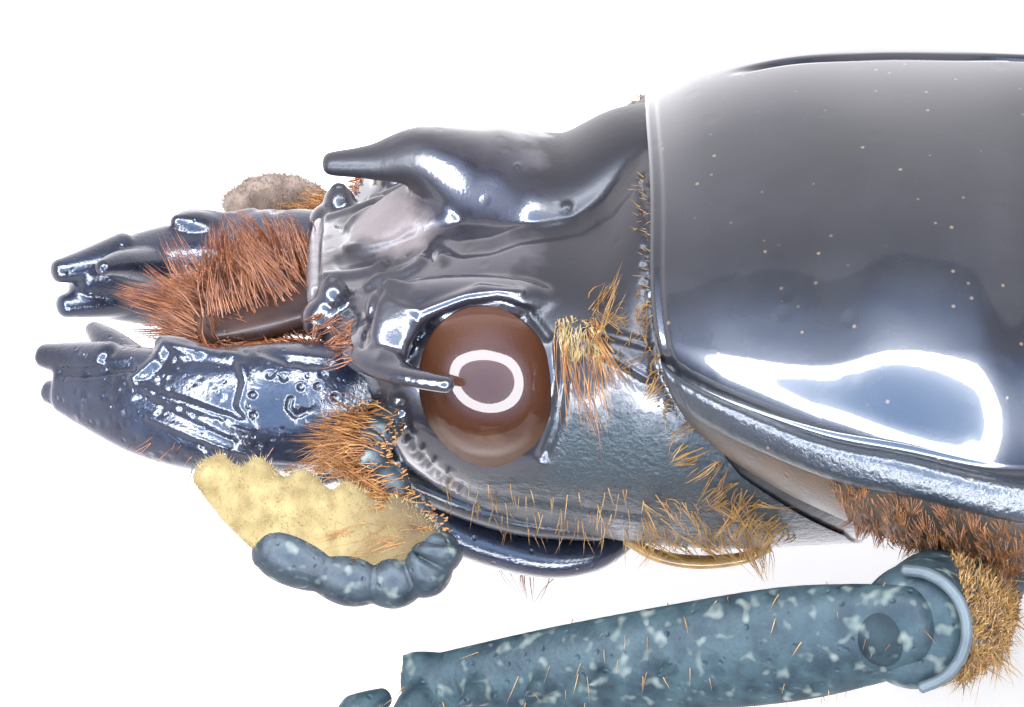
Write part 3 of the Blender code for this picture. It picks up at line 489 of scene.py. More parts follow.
JAW_PATCH = [(120, 415), (200, 440), (325, 450), (325, 485), (190, 470), (125, 445)]
BREAST_PATCH = [(800, 430), (1400, 600), (1400, 700), (1000, 640), (880, 570), (840, 500)]
THIGH_PATCH = [(930, 480), (1100, 480), (1100, 720), (900, 720), (955, 690), (975, 640), (962, 590)]

BRISTLES = {
    "rust_bristle": ("#6f3c24", "#b5754c"),
    "amber_bristle": ("#7f4c18", "#c98f48"),
    "gold_bristle": ("#8a6026", "#c39a55"),
    "pale_bristle": ("#a08c5c", "#d8c694"),
    "brown_down": ("#5c3814", "#a86c2c"),
    "ochre_down": ("#7a5622", "#bc9048"),
    # The far club's down, painted darker and greyer as painted shade
    "dun_down": ("#8a7a70", "#b0a094"),
}
# Coats of hair read their name, the piece they grow on, their bristle, their count, lengths, width
# and lie, the patch in the photo, and how far they stand and spread. Some go on with the number of
# tufts, the droop, the slot, and whether they grow all round. {side} and {leg} stand for each one.
HAIR_COATS = [
    ("lip_brush", "upper_lip", "rust_bristle", 1300, (0.9, 1.9), 0.034, (-0.5, -0.3, 0.85),
     LIP_PATCH, 0.1, 0.3, 30),
    ("lip_front_brush", "upper_lip", "rust_bristle", 520, (0.6, 1.3), 0.032, (-1.0, -0.1, 0.3),
     LIP_FRONT_PATCH, 0.1, 0.3, 18),
    ("lip_side_brush", "upper_lip", "rust_bristle", 900, (0.4, 1.0), 0.034, (-0.8, 0.4, 0.15),
     LIP_SIDE_PATCH, 0.1, 0.3, 30),
    ("maxilla_brush_{side}", "maxilla_{side}", "rust_bristle", 420, (0.4, 0.8), 0.04, (-0.7, 0.2, 0.5),
     None, 0.3, 0.3, 40),
    ("knob_tuft", "head_capsule", "rust_bristle", 200, (0.2, 0.5), 0.03, (-0.3, 0.5, -0.2),
     KNOB_TUFT_PATCH, 0.4, 0.45, 20),
    ("stalk_brush_{side}", "feeler_beads_{side}", "amber_bristle", 800, (0.5, 1.3), 0.028,
     (-0.75, 0.3, 0.25), None, 0.35, 0.35, 60, (-0.2, 0.1, -0.25)),
    ("eye_tuft", "head_capsule", "pale_bristle", 320, (0.2, 0.42), 0.024, (0.1, 0.4, -0.4),
     EYE_TUFT_PATCH, 0.4, 0.3, 24, (0, 0, -0.3)),
    ("cheek_beard", "head_capsule", "amber_bristle", 170, (0.6, 1.4), 0.022, (0.2, 0.45, -0.7),
     EYE_TUFT_PATCH, 0.3, 0.4, 26, (0.2, 0, -0.5)),
    ("cheek_spray", "head_capsule", "gold_bristle", 120, (0.3, 0.8), 0.02, (0.2, 0.5, 0.7),
     CHEEK_SPRAY_PATCH, 0.4, 0.45, 24),
    ("nape_fringe", "head_capsule", "gold_bristle", 150, (0.1, 0.2), 0.018, (-0.8, 0.3, 0.3),
     NAPE_PATCH, 0.3, 0.3),
    ("collar_fringe", "head_capsule", "gold_bristle", 520, (0.25, 0.5), 0.022, (-0.8, 0.3, -0.3),
     COLLAR_PATCH, 0.5, 0.4, 80),
    ("jowl_fringe", "head_capsule", "gold_bristle", 200, (0.2, 0.42), 0.018, (0.05, 0.45, -0.9),
     JOWL_PATCH, 0.3, 0.22),
    ("throat_fan", "head_capsule", "gold_bristle", 420, (0.35, 0.65), 0.02, (0.5, 0.4, -0.35),
     THROAT_PATCH, 0.3, 0.4, 50),
    ("chin_tuft", "chin_plate", "rust_bristle", 46, (0.3, 0.55), 0.022, (-0.5, 0.1, -0.8),
     CHIN_PATCH, 0.2, 0.25, 8),
    ("jaw_fringe_{side}", "jaw_{side}", "rust_bristle", 26, (0.2, 0.45), 0.018, (-0.6, 0.3, -0.6),
     JAW_PATCH, 0.3, 0.3),
    ("club_down_left", "club_leaves_left", "pale_bristle", 2900, (0.05, 0.13), 0.014, (-0.3, 0, 0.3),
     None, 1.0, 0.3, 0, (0, 0, 0), "club"),
    # The far club's down is painted shade: the near club's pale down, darkened
    ("club_down_right", "club_leaves_right", "dun_down", 2900, (0.05, 0.13), 0.014, (-0.3, 0, 0.3),
     None, 1.0, 0.3, 0, (0, 0, 0), "club"),
    ("breast_down", "prothorax_underside", "brown_down", 6500, (0.12, 0.3), 0.02, (0.3, 0.35, -0.5),
     BREAST_PATCH, 0.3, 0.4, 700, (0, 0, 0), "underside"),
    ("thigh_down_{side}", "thigh_fore_{side}", "ochre_down", 5200, (0.3, 0.7), 0.025, (0.35, 0.3, -0.3),
     THIGH_PATCH, 0.9, 0.4, 600, (0, 0, -0.3), "leg", True),
    ("shin_fringe_{leg}", "shin_{leg}", "gold_bristle", 110, (0.15, 0.4), 0.018, (0.1, 0.2, -0.8),
     None, 0.6, 0.25, 0, (0, 0, 0), "leg"),
]


# Curves and profiles


def read_rows(rows, x):
    """The values at x on smooth curves through rows whose first number is x."""
    if x <= rows[0][0]:
        return rows[0][1:]
    if x >= rows[-1][0]:
        return rows[-1][1:]
    i = next(k for k in range(len(rows) - 1) if x <= rows[k + 1][0])
    before, low, high, after = (rows[max(0, min(len(rows) - 1, k))] for k in (i - 1, i, i + 1, i + 2))
    span = high[0] - low[0]
    t = (x - low[0]) / span
    values = []
    for k in range(1, len(low)):
        slope_low = span * (high[k] - before[k]) / (high[0] - before[0])
        slope_high = span * (after[k] - low[k]) / (after[0] - low[0])
        rise = 3 * t**2 - 2 * t**3
        bend = (t**3 - 2 * t**2 + t) * slope_low + (t**3 - t**2) * slope_high
        values.append(low[k] + rise * (high[k] - low[k]) + bend)
    return tuple(values)


def curve_point(points, s):
    """The point at s, from 0 to 1, on a smooth curve through the points and their radii."""
    at = min(max(s, 0.0), 1.0) * (len(points) - 1)
    i = min(int(at), len(points) - 2)
    t = at - i
    p0, p1, p2, p3 = (points[max(0, min(len(points) - 1, k))] for k in (i - 1, i, i + 1, i + 2))
    return [
        b + 0.5 * ((c - a) * t + (2 * a - 5 * b + 4 * c - d) * t**2 + (3 * b - a - 3 * c + d) * t**3)
        for a, b, c, d in zip(p0, p1, p2, p3)
    ]


def smooth_route(points, steps=40):
    return [curve_point(points, k / steps) for k in range(steps + 1)]


def power(value, exponent):
    return math.copysign(abs(value) ** exponent, value)


def even(start, stop, count):
    return [start + (stop - start) * k / (count - 1) for k in range(count)]


def hump(distance, half_width):
    """1 at distance 0, falling smoothly to 0 at half_width."""
    return np.clip(1 - (np.asarray(distance) / half_width) ** 2, 0, 1) ** 2


def mirrored(place, side):
    """A place of either side, set on the left where side is -1 or on the right where it is 1."""
    return (place[0], side * place[1], *place[2:])


# Meshes


def add_object(name, points, faces):
    mesh = bpy.data.meshes.new(name)
    mesh.from_pydata([tuple(point) for point in points], [], faces)
    obj = bpy.data.objects.new(name, mesh)
    bpy.context.scene.collection.objects.link(obj)
    return obj


def read_points(mesh, key="co"):
    values = np.empty(3 * len(mesh.vertices))
    mesh.vertices.foreach_get(key, values)
    return values.reshape(-1, 3)


def set_points(obj, points):
    obj.data.vertices.foreach_set("co", points.ravel())
    obj.data.update()


def loft(name, rings, start_point=None, end_point=None):
    """A closed skin over rings of equal length, each end drawn to a point or closed flat."""
    count = len(rings[0])
    points = [tuple(point) for ring in rings for point in ring]
    index = np.arange(len(points)).reshape(len(rings), count)
    beside = np.roll(index, -1, axis=1)
    quads = np.stack([index[:-1], beside[:-1], beside[1:], index[1:]], axis=-1)
    faces = quads.reshape(-1, 4).tolist()
    for ring, beside_ring, point in ((index[0], beside[0], start_point), (index[-1], beside[-1], end_point)):
        if point is None:
            point = np.mean([points[k] for k in ring], axis=0)
        points.append(tuple(point))
        last = len(points) - 1
        order = (1, 0) if ring[0] == 0 else (0, 1)
        for pair in zip(ring.tolist(), beside_ring.tolist()):
            faces.append((pair[order[0]], pair[order[1]], last))
    return add_object(name, points, faces)


def body_ring(row, sides, powers, grow=0.0):
    """A rounded cross-section whose upper and lower halves have powers of their own."""
    x, half_width, top, middle, bottom = row
    ring = []
    for k in range(sides):
        angle = 2 * math.pi * k / sides
        upper = math.sin(angle) >= 0
        exponent = 2 / powers[0 if upper else 1]
        height = grow + (top - middle if upper else middle - bottom)
        y = (half_width + grow) * power(math.cos(angle), exponent)
        ring.append((x, y, middle + height * power(math.sin(angle), exponent)))
    return ring


def limb(name, points, sides=20, steps=30, up=(0, 0, 1), roundness=2.0, ends=(0.6, 0.6), side=1):
    """A bent tapering limb with domed ends, squarer in section where roundness is over 2."""
    points = [mirrored(point, side) for point in points]
    rings, tips = [], []
    for step in range(steps + 1):
        s = step / steps
        x, y, z, across, upward = curve_point(points, s)
        ahead = Vector(curve_point(points, min(1, s + LIMB_LOOK))[:3])
        behind = Vector(curve_point(points, max(0, s - LIMB_LOOK))[:3])
        along = (ahead - behind).normalized()
        beside = along.cross(Vector(up)).normalized()
        over = beside.cross(along)
        centre = Vector((x, y, z))
        turns = [2 * math.pi * k / sides for k in range(sides)]
        offsets = [
            beside * across * power(math.cos(turn), 2 / roundness)
            + over * upward * power(math.sin(turn), 2 / roundness)
            for turn in turns
        ]
        ring = [centre + offset for offset in offsets]
        if step not in (0, steps):
            rings.append(ring)
            continue
        reach = ends[0 if step == 0 else 1] * min(across, upward)
        outward = -along if step == 0 else along
        domed = []
        for k in range(1, DOME_RINGS):
            angle = math.pi / 2 * k / DOME_RINGS
            push = outward * reach * math.sin(angle)
            domed.append([centre + offset * math.cos(angle) + push for offset in offsets])
        rings += domed[::-1] + [ring] if step == 0 else [ring] + domed
        tips.append(centre + outward * reach)
    return loft(name, rings, tips[0], tips[-1])


def ball(name, centre, radii, sides=48, rows=32):
    rings = []
    for row in range(1, rows):
        angle = math.pi * row / rows
        ring = []
        for k in range(sides):
            turn = 2 * math.pi * k / sides
            x = centre[0] + radii[0] * math.sin(angle) * math.cos(turn)
            z = centre[2] + radii[2] * math.sin(angle) * math.sin(turn)
            ring.append((x, centre[1] + radii[1] * math.cos(angle), z))
        rings.append(ring)
    start = (centre[0], centre[1] + radii[1], centre[2])
    end = (centre[0], centre[1] - radii[1], centre[2])
    return loft(name, rings, start, end)


def apply_modifiers(obj):
    bpy.context.view_layer.update()
    graph = bpy.context.evaluated_depsgraph_get()
    mesh = bpy.data.meshes.new_from_object(obj.evaluated_get(graph))
    obj.modifiers.clear()
    obj.data = mesh


def grow_together(name, pieces, voxel, rounds):
    """One skin over overlapping pieces, built of small cubes and then evened out."""
    points, faces = [], []
    for piece in pieces:
        base = len(points)
        points += [tuple(vert.co) for vert in piece.data.vertices]
        faces += [[base + k for k in face.vertices] for face in piece.data.polygons]
        bpy.data.objects.remove(piece)
    skin = add_object(name, points, faces)
    remesh = skin.modifiers.new("remesh", "REMESH")
    remesh.mode = "VOXEL"
    remesh.voxel_size = voxel
    smooth = skin.modifiers.new("smooth", "SMOOTH")
    smooth.factor = 0.5
    smooth.iterations = rounds
    apply_modifiers(skin)
    return skin


def distance_to_route(points, route):
    """Each point's distance to a route of straight pieces, or to its only place."""
    route = np.asarray(route, float)
    if len(route) == 1:
        return np.linalg.norm(points - route[0], axis=1)
    nearest = np.full(len(points), np.inf)
    for start, stop in zip(route, route[1:]):
        along = stop - start
        share = np.clip((points - start) @ along / max(along @ along, 1e-9), 0, 1)
        gap = np.linalg.norm(points - start - share[:, None] * along, axis=1)
        nearest = np.minimum(nearest, gap)
    return nearest


def depth_in_patch(places, corners):
    """How far inside a closed outline places are, and 0 outside it."""
    closed = [*corners, corners[0]]
    inside = np.zeros(len(places), bool)
    for (x0, y0), (x1, y1) in zip(closed, closed[1:]):
        if y0 != y1:
            crossed = (y0 > places[:, 1]) != (y1 > places[:, 1])
            inside ^= crossed & (places[:, 0] < x0 + (places[:, 1] - y0) * (x1 - x0) / (y1 - y0))
    return np.where(inside, distance_to_route(places, closed), 0.0)


def picture_places(points):
    """Where points show in the photo, in pixels, with the right half folded onto the left."""
    x, y, z = (points * (1, 0, 1) - np.abs(points) * (0, 1, 0) - AIM).T
    sin, cos = math.sin(CAMERA_ELEVATION), math.cos(CAMERA_ELEVATION)
    scale = LENS / SENSOR * PHOTO_SIZE[0] / (CAMERA_DISTANCE + y * cos - z * sin)
    return np.column_stack([PHOTO_SIZE[0] / 2 + scale * x, PHOTO_SIZE[1] / 2 - scale * (y * sin + z * cos)])


def facing(points, normals):
    """1 where the folded surface faces the photo's camera, and 0 where it turns away."""
    outward = np.where(points[:, 1] > 0, normals[:, 1], -normals[:, 1])
    toward = outward * math.cos(CAMERA_ELEVATION) + normals[:, 2] * math.sin(CAMERA_ELEVATION)
    return np.clip((toward - 0.05) / 0.25, 0, 1)


def sculpt(obj, reliefs, patches=()):
    """Raises or sinks a surface where the photo shows relief, alike on both sides.

    A relief reads route, half width and height. A patch reads corners, edge width and height.
    """
    points = read_points(obj.data)
    normals = read_points(obj.data, "normal")
    places = picture_places(points)
    rise = np.zeros(len(points))
    for route, half_width, height in reliefs:
        rise += height * hump(distance_to_route(places, route), half_width)
    for corners, edge, height in patches:
        share = np.clip(depth_in_patch(places, corners) / edge, 0, 1)
        rise += height * share**2 * (3 - 2 * share)
    set_points(obj, points + normals * (rise * facing(points, normals))[:, None])


def finish(obj, material, *nodes, slot="black_shell"):
    """Sets a piece among the solids, in metres, and puts it in their nodes' place."""
    set_points(obj, (read_points(obj.data) - (CENTRE_X, 0, 0)) * MM)
    obj.data.shade_smooth()
    obj.data.materials.clear()
    obj.data.materials.append(material)
    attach(obj, "root")
    if nodes:
        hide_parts(*nodes)


# Materials


def linear(colour):
    """An sRGB hex colour as linear red, green, blue and alpha."""
    values = [int(colour[k:k + 2], 16) / 255 for k in (1, 3, 5)]
    return (*[v / 12.92 if v <= 0.04045 else ((v + 0.055) / 1.055) ** 2.4 for v in values], 1.0)


def feed(material, node, inputs):
    """Sets a node's inputs, by name or in order, each to a value or to another node's output."""
    for key, value in inputs.items() if isinstance(inputs, dict) else enumerate(inputs):
        if isinstance(value, bpy.types.NodeSocket):
            material.node_tree.links.new(value, node.inputs[key])
        else:
            node.inputs[key].default_value = value


def add_node(material, kind, inputs=(), output=0, **settings):
    """Adds a node with its settings and links, and gives one of its outputs."""
    node = material.node_tree.nodes.new("ShaderNode" + kind)
    for key, value in settings.items():
        setattr(node, key, value)
    feed(material, node, inputs)
    return node.outputs[output]


def shader_of(material):
    return material.node_tree.nodes["Principled BSDF"]


def so_far(material, key):
    """What feeds an input of the shader so far: another node's output, or a value."""
    socket = shader_of(material).inputs[key]
    return socket.links[0].from_socket if socket.links else socket.default_value


def new_material(name, **inputs):
    """A material whose shader has those inputs, and its coordinates in millimetres."""
    material = bpy.data.materials.new(name)
    material.use_nodes = True
    feed(material, shader_of(material), {key.replace("_", " "): value for key, value in inputs.items()})
    return material, millimetres(material)


def millimetres(material, shift=0.0):
    """The coordinates in millimetres from the middle of the solids, or shifted along X from there."""
    place = add_node(material, "TexCoord", output="Object")
    place = add_node(material, "VectorMath", {0: place, 3: 1 / MM}, operation="SCALE")
    return add_node(material, "VectorMath", (place, (shift, 0.0, 0.0)), operation="ADD") if shift else place


def blots(material, place, size, low, high, start=0.0, stop=1.0, detail=3.0, roughness=0.5):
    """Soft blots about that many millimetres across, whose values run from start to stop."""
    texture = {"Vector": place, "Scale": 1 / size, "Detail": detail, "Roughness": roughness}
    return add_node(material, "MapRange", (add_node(material, "TexNoise", texture), low, high, start, stop))


def mottled(material, place, size, dark, light, low=0.35, high=0.65, **texture):
    """Two colours that turn into each other in soft blots."""
    share = blots(material, place, size, low, high, **texture)
    return add_node(material, "Mix", {0: share, 6: linear(dark), 7: linear(light)}, **COLOURS)


def wrinkled(material, place, size, depth, detail, roughness=0.5, under=()):
    """Soft folds of that size and depth in millimetres, laid over the relief under them."""
    texture = {"Vector": place, "Scale": 1 / size, "Detail": detail, "Roughness": roughness}
    relief = {"Height": add_node(material, "TexNoise", texture), "Distance": depth * MM, "Strength": 1.0}
    return add_node(material, "Bump", {**relief, **dict(under)})


def region(material, *bounds):
    """The share of a region. Each bound reads a value, where the region starts and where it is full."""
    share = 1.0
    for value, start, full in bounds:
        inside = add_node(material, "MapRange", (value, start, full))
        share = add_node(material, "Math", (share, inside), operation="MULTIPLY")
    return share


def wandering(material, place, value, reach=0.3, size=0.6):
    """A value shifted by soft noise, so that what it bounds has no straight edge."""
    shift = blots(material, place, size, 0.3, 0.7, -reach, reach)
    return add_node(material, "Math", (value, shift), operation="ADD")


def distance_from(material, centre, stretch):
    """The distance from a place, counted as the pieces are shaped, with each axis stretched."""
    offset = add_node(material, "VectorMath", (millimetres(material, CENTRE_X), centre), operation="SUBTRACT")
    offset = add_node(material, "VectorMath", (offset, stretch), operation="MULTIPLY")
    return add_node(material, "VectorMath", (offset,), "Value", operation="LENGTH")


def tint(material, share, colour):
    """Turns a material's colour into another by a share."""
    inputs = {0: share, 6: so_far(material, "Base Color"), 7: linear(colour)}
    feed(material, shader_of(material), {"Base Color": add_node(material, "Mix", inputs, **COLOURS)})


def dull_where(material, share, colour, roughness, coat, wrinkle_size, wrinkle_depth):
    """Turns a cuticle duller, wrinkled and of another colour by a share."""
    smooth = so_far(material, "Normal")
    place = millimetres(material)
    folds = wrinkled(material, place, wrinkle_size, wrinkle_depth, 4.0, 0.65, {"Normal": smooth})
    relief = add_node(material, "Mix", {0: share, 4: smooth, 5: folds}, 1, data_type="VECTOR")
    rough = add_node(material, "Mix", {0: share, 2: so_far(material, "Roughness"), 3: roughness})
    weight = add_node(material, "Mix", {0: share, 2: so_far(material, "Coat Weight"), 3: coat})
    tint(material, share, colour)
    dulled = {"Normal": relief, "Coat Normal": relief, "Roughness": rough, "Coat Weight": weight}
    feed(material, shader_of(material), dulled)


def cuticle(name, dark, light, roughness, blot=0.9, grain=0.045, grain_depth=0.0015, pit=0.35,
            pit_depth=0.006, coat=1.0, coat_roughness=0.06, gloss=0.5):
    """Sclerotised cuticle: blackened chitin, finely netted like cast skin, with small pits.

    Its outer wax layer is as smooth as lacquer, so that it mirrors lamps sharply, while the dark
    layer under it scatters a little light of its own.
    """
    coats = {"Coat_Weight": coat, "Coat_Roughness": coat_roughness, "Coat_IOR": CHITIN_IOR}
    material, place = new_material(name, IOR=CHITIN_IOR, Specular_IOR_Level=gloss, **coats)
    colour = mottled(material, place, blot, dark, light, high=0.7, detail=4.0, roughness=0.6)
    pits = add_node(material, "TexVoronoi", {"Vector": place, "Scale": 1 / pit})
    pits = add_node(material, "MapRange", (pits, 0.06, 0.2))
    relief = add_node(material, "Bump", {"Height": pits, "Distance": pit_depth * MM, "Strength": 1.0})
    relief = wrinkled(material, place, grain, grain_depth, 2.0, under={"Normal": relief})
    rough = blots(material, place, 0.5 * blot, 0.3, 0.7, 0.85 * roughness, 1.15 * roughness)
    inputs = {"Base Color": colour, "Normal": relief, "Coat Normal": relief, "Roughness": rough}
    feed(material, shader_of(material), inputs)
    return material


def head_cuticle():
    """Black lacquer, dull on the front, the horn and the crown, wrinkled and blue-grey on the cheeks. The
    wall under the horn is painted pale grey: painted light on black cuticle.
    """
    material = cuticle("head_cuticle", "#2a2933", "#363743", 0.3, pit=0.5, pit_depth=0.004, gloss=0.32)
    place = millimetres(material)
    shaped = millimetres(material, CENTRE_X)
    height = wandering(material, place, add_node(material, "SeparateXYZ", (shaped,), "Z"))
    ahead = wandering(material, place, add_node(material, "SeparateXYZ", (shaped,), "X"))
    from_wall = distance_from(material, HORN_WALL[1][:3], (1.0, 0.6, 1.9))
    cheek = region(material, (height, 6.0, 5.3), (ahead, 0.3, 0.8))
    below = region(material, (height, 4.75, 4.3), (ahead, -0.7, -0.2))
    crown = region(material, (height, 5.9, 6.4), (ahead, 0.1, 0.5))
    front = region(material, (ahead, -1.2, -1.7), (height, 6.7, 7.0))
    # The wall under the horn is dulled, wrinkled and painted a pale grey, painted light that stands in for
    # the lamp light on it.
    wall = region(material, (wandering(material, place, from_wall, 0.12), 0.95, 0.7))
    dull_where(material, cheek, "#2c3a42", 0.5, 0.12, 0.13, 0.06)
    dull_where(material, below, "#26323a", 0.3, 0.3, 0.2, 0.05)
    dull_where(material, crown, "#26262d", 0.4, 0.05, 0.3, 0.006)
    dull_where(material, front, "#302f36", 0.5, 0.12, 0.2, 0.012)
    dull_where(material, wall, "#857d80", 0.55, 0.1, 0.25, 0.03)
    return material


def jaw_cuticle():
    """The hardest cuticle, which the ring of light turns blue-black."""
    return cuticle("jaw_cuticle", "#1c2132", "#2a3348", 0.3, blot=0.6, grain=0.05, grain_depth=0.006,
                   pit=0.22, pit_depth=0.012, coat=0.6, gloss=0.35)


def lip_cuticle():
    """The upper lip: thinner cuticle that lets its reddish pigment through."""
    return cuticle("lip_cuticle", "#2c1f20", "#4c342c", 0.5, coat=0.12, gloss=0.25)


def shield_cuticle():
    """The prothorax: dark brown-black under a thick even polish, with a few motes of dust."""
    material = cuticle("shield_cuticle", "#25272e", "#2e3038", 0.26, blot=2.5, grain=0.09, grain_depth=0.0006,
                       pit=0.8, pit_depth=0.002, coat_roughness=0.045)
    bead = add_node(material, "Attribute", output="Fac", attribute_name="dull")
    dull_where(material, bead, "#2a323c", 0.36, 0.4, 0.2, 0.03)
    spacing = {"Vector": millimetres(material), "Scale": 1 / MOTE_SPACING}
    apart = add_node(material, "TexVoronoi", spacing)
    chance = add_node(material, "SeparateXYZ", (apart.node.outputs["Color"],), "X")
    tint(material, region(material, (apart, 0.15, 0.07), (chance, 0.62, 0.8)), "#7d6f5c")
    return material


def wing_case_cuticle():
    """The wing cases: as dark as the prothorax and almost as bright, between pitted grooves."""
    return cuticle("wing_case_cuticle", "#2a2528", "#353033", 0.34, blot=2.0, pit=0.7, pit_depth=0.002)


def downy_cuticle(name, dark, light, roughness, down=0.24, **skin):
    """Satin cuticle, blue-grey and rough, with blots of short pale down and dust."""
    material = cuticle(name, dark, light, roughness, grain=0.07, coat_roughness=0.3, **skin)
    tint(material, blots(material, millimetres(material), down, 0.58, 0.8, detail=1.0), "#7d8a86")
    return material


def underside_cuticle():
    """Duller cuticle, wrinkled like fine leather."""
    return cuticle("underside_cuticle", "#252d33", "#37434a", 0.5, blot=0.5, grain=0.06, grain_depth=0.008,
                   pit=0.3, pit_depth=0.012, coat=0.35, coat_roughness=0.25)


def breast_cuticle():
    """The sides under the prothorax: thin brown cuticle, mottled and covered with down."""
    return cuticle("breast_cuticle", "#33332f", "#5e4428", 0.5, blot=0.7, grain=0.06, grain_depth=0.01,
                   pit=0.3, pit_depth=0.01, coat=0.25, coat_roughness=0.3)


def eye_lens():
    """The eye: brown pigment under thousands of clear lenses 0.03 mm across, too fine to stand out. Its lower
    part is painted paler and greyer, a painted reflection of what lies below it.
    """
    coats = {"Coat_Weight": 1.0, "Coat_Roughness": 0.03, "Coat_IOR": 1.4}
    material, place = new_material("eye_lens", IOR=1.2, Roughness=0.4, **coats)
    height = wandering(material, place, add_node(material, "SeparateXYZ", (place,), "Z"), 0.15, 0.5)
    # The upper part has the eye's darker brown; the lower part is painted paler and greyer, a painted
    # reflection from below.
    upper = region(material, (height, EYE_CENTRE[2] - 0.6, EYE_CENTRE[2] - 0.4))
    pigment = {0: upper, 6: linear("#5c4436"), 7: linear("#46291a")}
    away = distance_from(material, (EYE_CENTRE[0], 0.0, EYE_CENTRE[2]), (1.15, 0.0, 0.95))
    facets = add_node(material, "TexVoronoi", {"Vector": place, "Scale": 1 / FACET_SPACING})
    inputs = {
        "Base Color": add_node(material, "Mix", pigment, **COLOURS),
        "Coat Weight": region(material, (away, 0.95, 0.8)),
        "Normal": add_node(material, "Bump", {"Height": facets, "Distance": 0.0015 * MM, "Strength": 1.0}),
    }
    feed(material, shader_of(material), inputs)
    return material


def bristle(name, dark, light):
    """A bristle: clear amber chitin, shiny along its length and darker in some places."""
    material, place = new_material(name, IOR=1.55, Roughness=0.4)
    feed(material, shader_of(material), {"Base Color": mottled(material, place, 0.25, dark, light)})
    return material


def velvet(name, dark, light, base):
    """A club's leaves: horn-coloured cuticle, darker at its base, under down that softens the light."""
    material, place = new_material(name, Roughness=0.9)
    colour = mottled(material, place, 0.3, dark, light)
    relief = wrinkled(material, place, 0.03, 0.008, 3.0)
    feed(material, shader_of(material), {"Base Color": colour, "Normal": relief})
    ahead = add_node(material, "SeparateXYZ", (millimetres(material, CENTRE_X),), "X")
    tint(material, region(material, (wandering(material, place, ahead, 0.5), *CLUB_BASE)), base)
    return material


def membrane(name, dark, light):
    """The soft joint skin: thin chitin, folded and a little wet."""
    material, place = new_material(name, IOR=1.5, Roughness=0.3, Coat_Weight=0.4, Coat_Roughness=0.15)
    colour = mottled(material, place, 0.4, dark, light)
    relief = wrinkled(material, place, 0.12, 0.02, 3.0)
    feed(material, shader_of(material), {"Base Color": colour, "Normal": relief})
    return material


def paper():
    """The floor: smooth white card with the faintest tooth, lit from below like a light table."""
    light = {"Emission_Color": linear("#ffffff"), "Emission_Strength": 0.45}
    material, place = new_material("paper", Roughness=0.8, **light)
    colour = mottled(material, place, 2.0, "#f3f3f4", "#f7f7f8", 0.0, 1.0)
    feed(material, shader_of(material), {"Base Color": colour})
    return material


# Head


def neck_x(z):
    """Where the slanting joint behind the head is, at height z."""
    return read_rows(NECK_PROFILE, z)[0]


def head_skull(name, first_x, last_x, grow, sides=120, count=80):
    rows = [(x, *read_rows(HEAD_ROWS, x)) for x in even(first_x, last_x, count)]
    return loft(name, [body_ring(row, sides, HEAD_POWERS, grow) for row in rows])


def build_head():
    """The head capsule and its horn, one piece of cuticle, with brows, canthi and front knobs."""
    pieces = [head_skull("skull", HEAD_ROWS[0][0], HEAD_ROWS[-1][0], 0.0)]
    pieces += [limb("horn_core", HORN, 48, 60), limb("horn_wall", HORN_WALL, 32, 30)]
    for side, _ in SIDES:
        pieces += [limb("brow", BROW, side=side), limb("canthus", CANTHUS, side=side)]
        pieces.append(limb("temple", TEMPLE, 24, 20, up=(1, 0, 0), roundness=3.0, side=side))
        pieces += [ball("knob", mirrored(centre, side), radii) for centre, radii in CLYPEUS_KNOBS]
    head = grow_together("head_capsule", pieces, 0.05, 7)
    pits = [([pit], 4, -0.05) for pit in NAPE_PITS]
    beads = [([bead], 5.5, 0.075) for bead in EYE_BEADS]
    sculpt(head, HEAD_RELIEFS + pits + beads, [(TEMPLE_PATCH, 10, 0.07)])
    points = read_points(head.data)
    heights, places = zip(*NECK_PROFILE)
    end = np.interp(points[:, 2], heights, places) + NECK_OVERLAP
    points[:, 0] = np.minimum(points[:, 0], end)
    set_points(head, points)
    finish(head, head_cuticle(), "head", "horn")


def eye_drop(across, up):
    """How far the eye's face lies behind its most outward place, that far across and up from it."""
    rise = np.minimum(np.abs(up), EYE_STEEP_FROM)
    flank = EYE_STEEP_FROM / math.sqrt(EYE_ROUND**2 - EYE_STEEP_FROM**2)
    drop = EYE_ROUND - np.sqrt(EYE_ROUND**2 - rise**2) + flank * (np.abs(up) - rise)
    return drop + EYE_ROUND_ACROSS - np.sqrt(EYE_ROUND_ACROSS**2 - across**2)


def build_eyes():
    """Each eye is a steep dome that leans back a little."""
    lens = eye_lens()
    for side, word in SIDES:
        eye = ball(f"eye_lens_{word}", mirrored(EYE_CENTRE, side), EYE_RADII, 128, 90)
        points = read_points(eye.data)
        offset = points - mirrored(EYE_CENTRE, side)
        away = np.hypot(offset[:, 0] / EYE_RADII[0], offset[:, 2] / EYE_RADII[2])
        rim = np.sqrt(np.clip(1 - away**8, 0, 1))
        dome = np.maximum(EYE_RADII[1] - eye_drop(offset[:, 0], offset[:, 2] - EYE_CREST), 0.02) * rim
        outer = side * offset[:, 1] > 0
        points[:, 1] = np.where(outer, side * (EYE_CENTRE[1] + dome), points[:, 1])
        points[:, 0] -= EYE_LEAN * offset[:, 2]
        set_points(eye, points)
        finish(eye, lens, f"eye_{word}", slot="eye")


def build_neck():
    """The joint skins: dark behind the head, amber in the folds of the throat, pale at the lip."""
    dark = membrane("neck_skin", "#22262c", "#33363a")
    amber = membrane("throat_skin", "#7d5c26", "#b08d48")
    pale = membrane("lip_skin", "#6f6c74", "#8d8a92")
    finish(head_skull("neck_joint", 1.0, 6.5, -0.05, 96, 40), dark)
    for side, word in SIDES:
        finish(limb(f"throat_fold_{word}", THROAT_FOLD, 20, 40, side=side), amber)
    finish(limb("lip_joint", CLYPEUS_RIM, 24, 40), pale)
    finish(limb("chin_joint", CHIN_SKIN, 64, 40), dark)


# Mouth and feelers


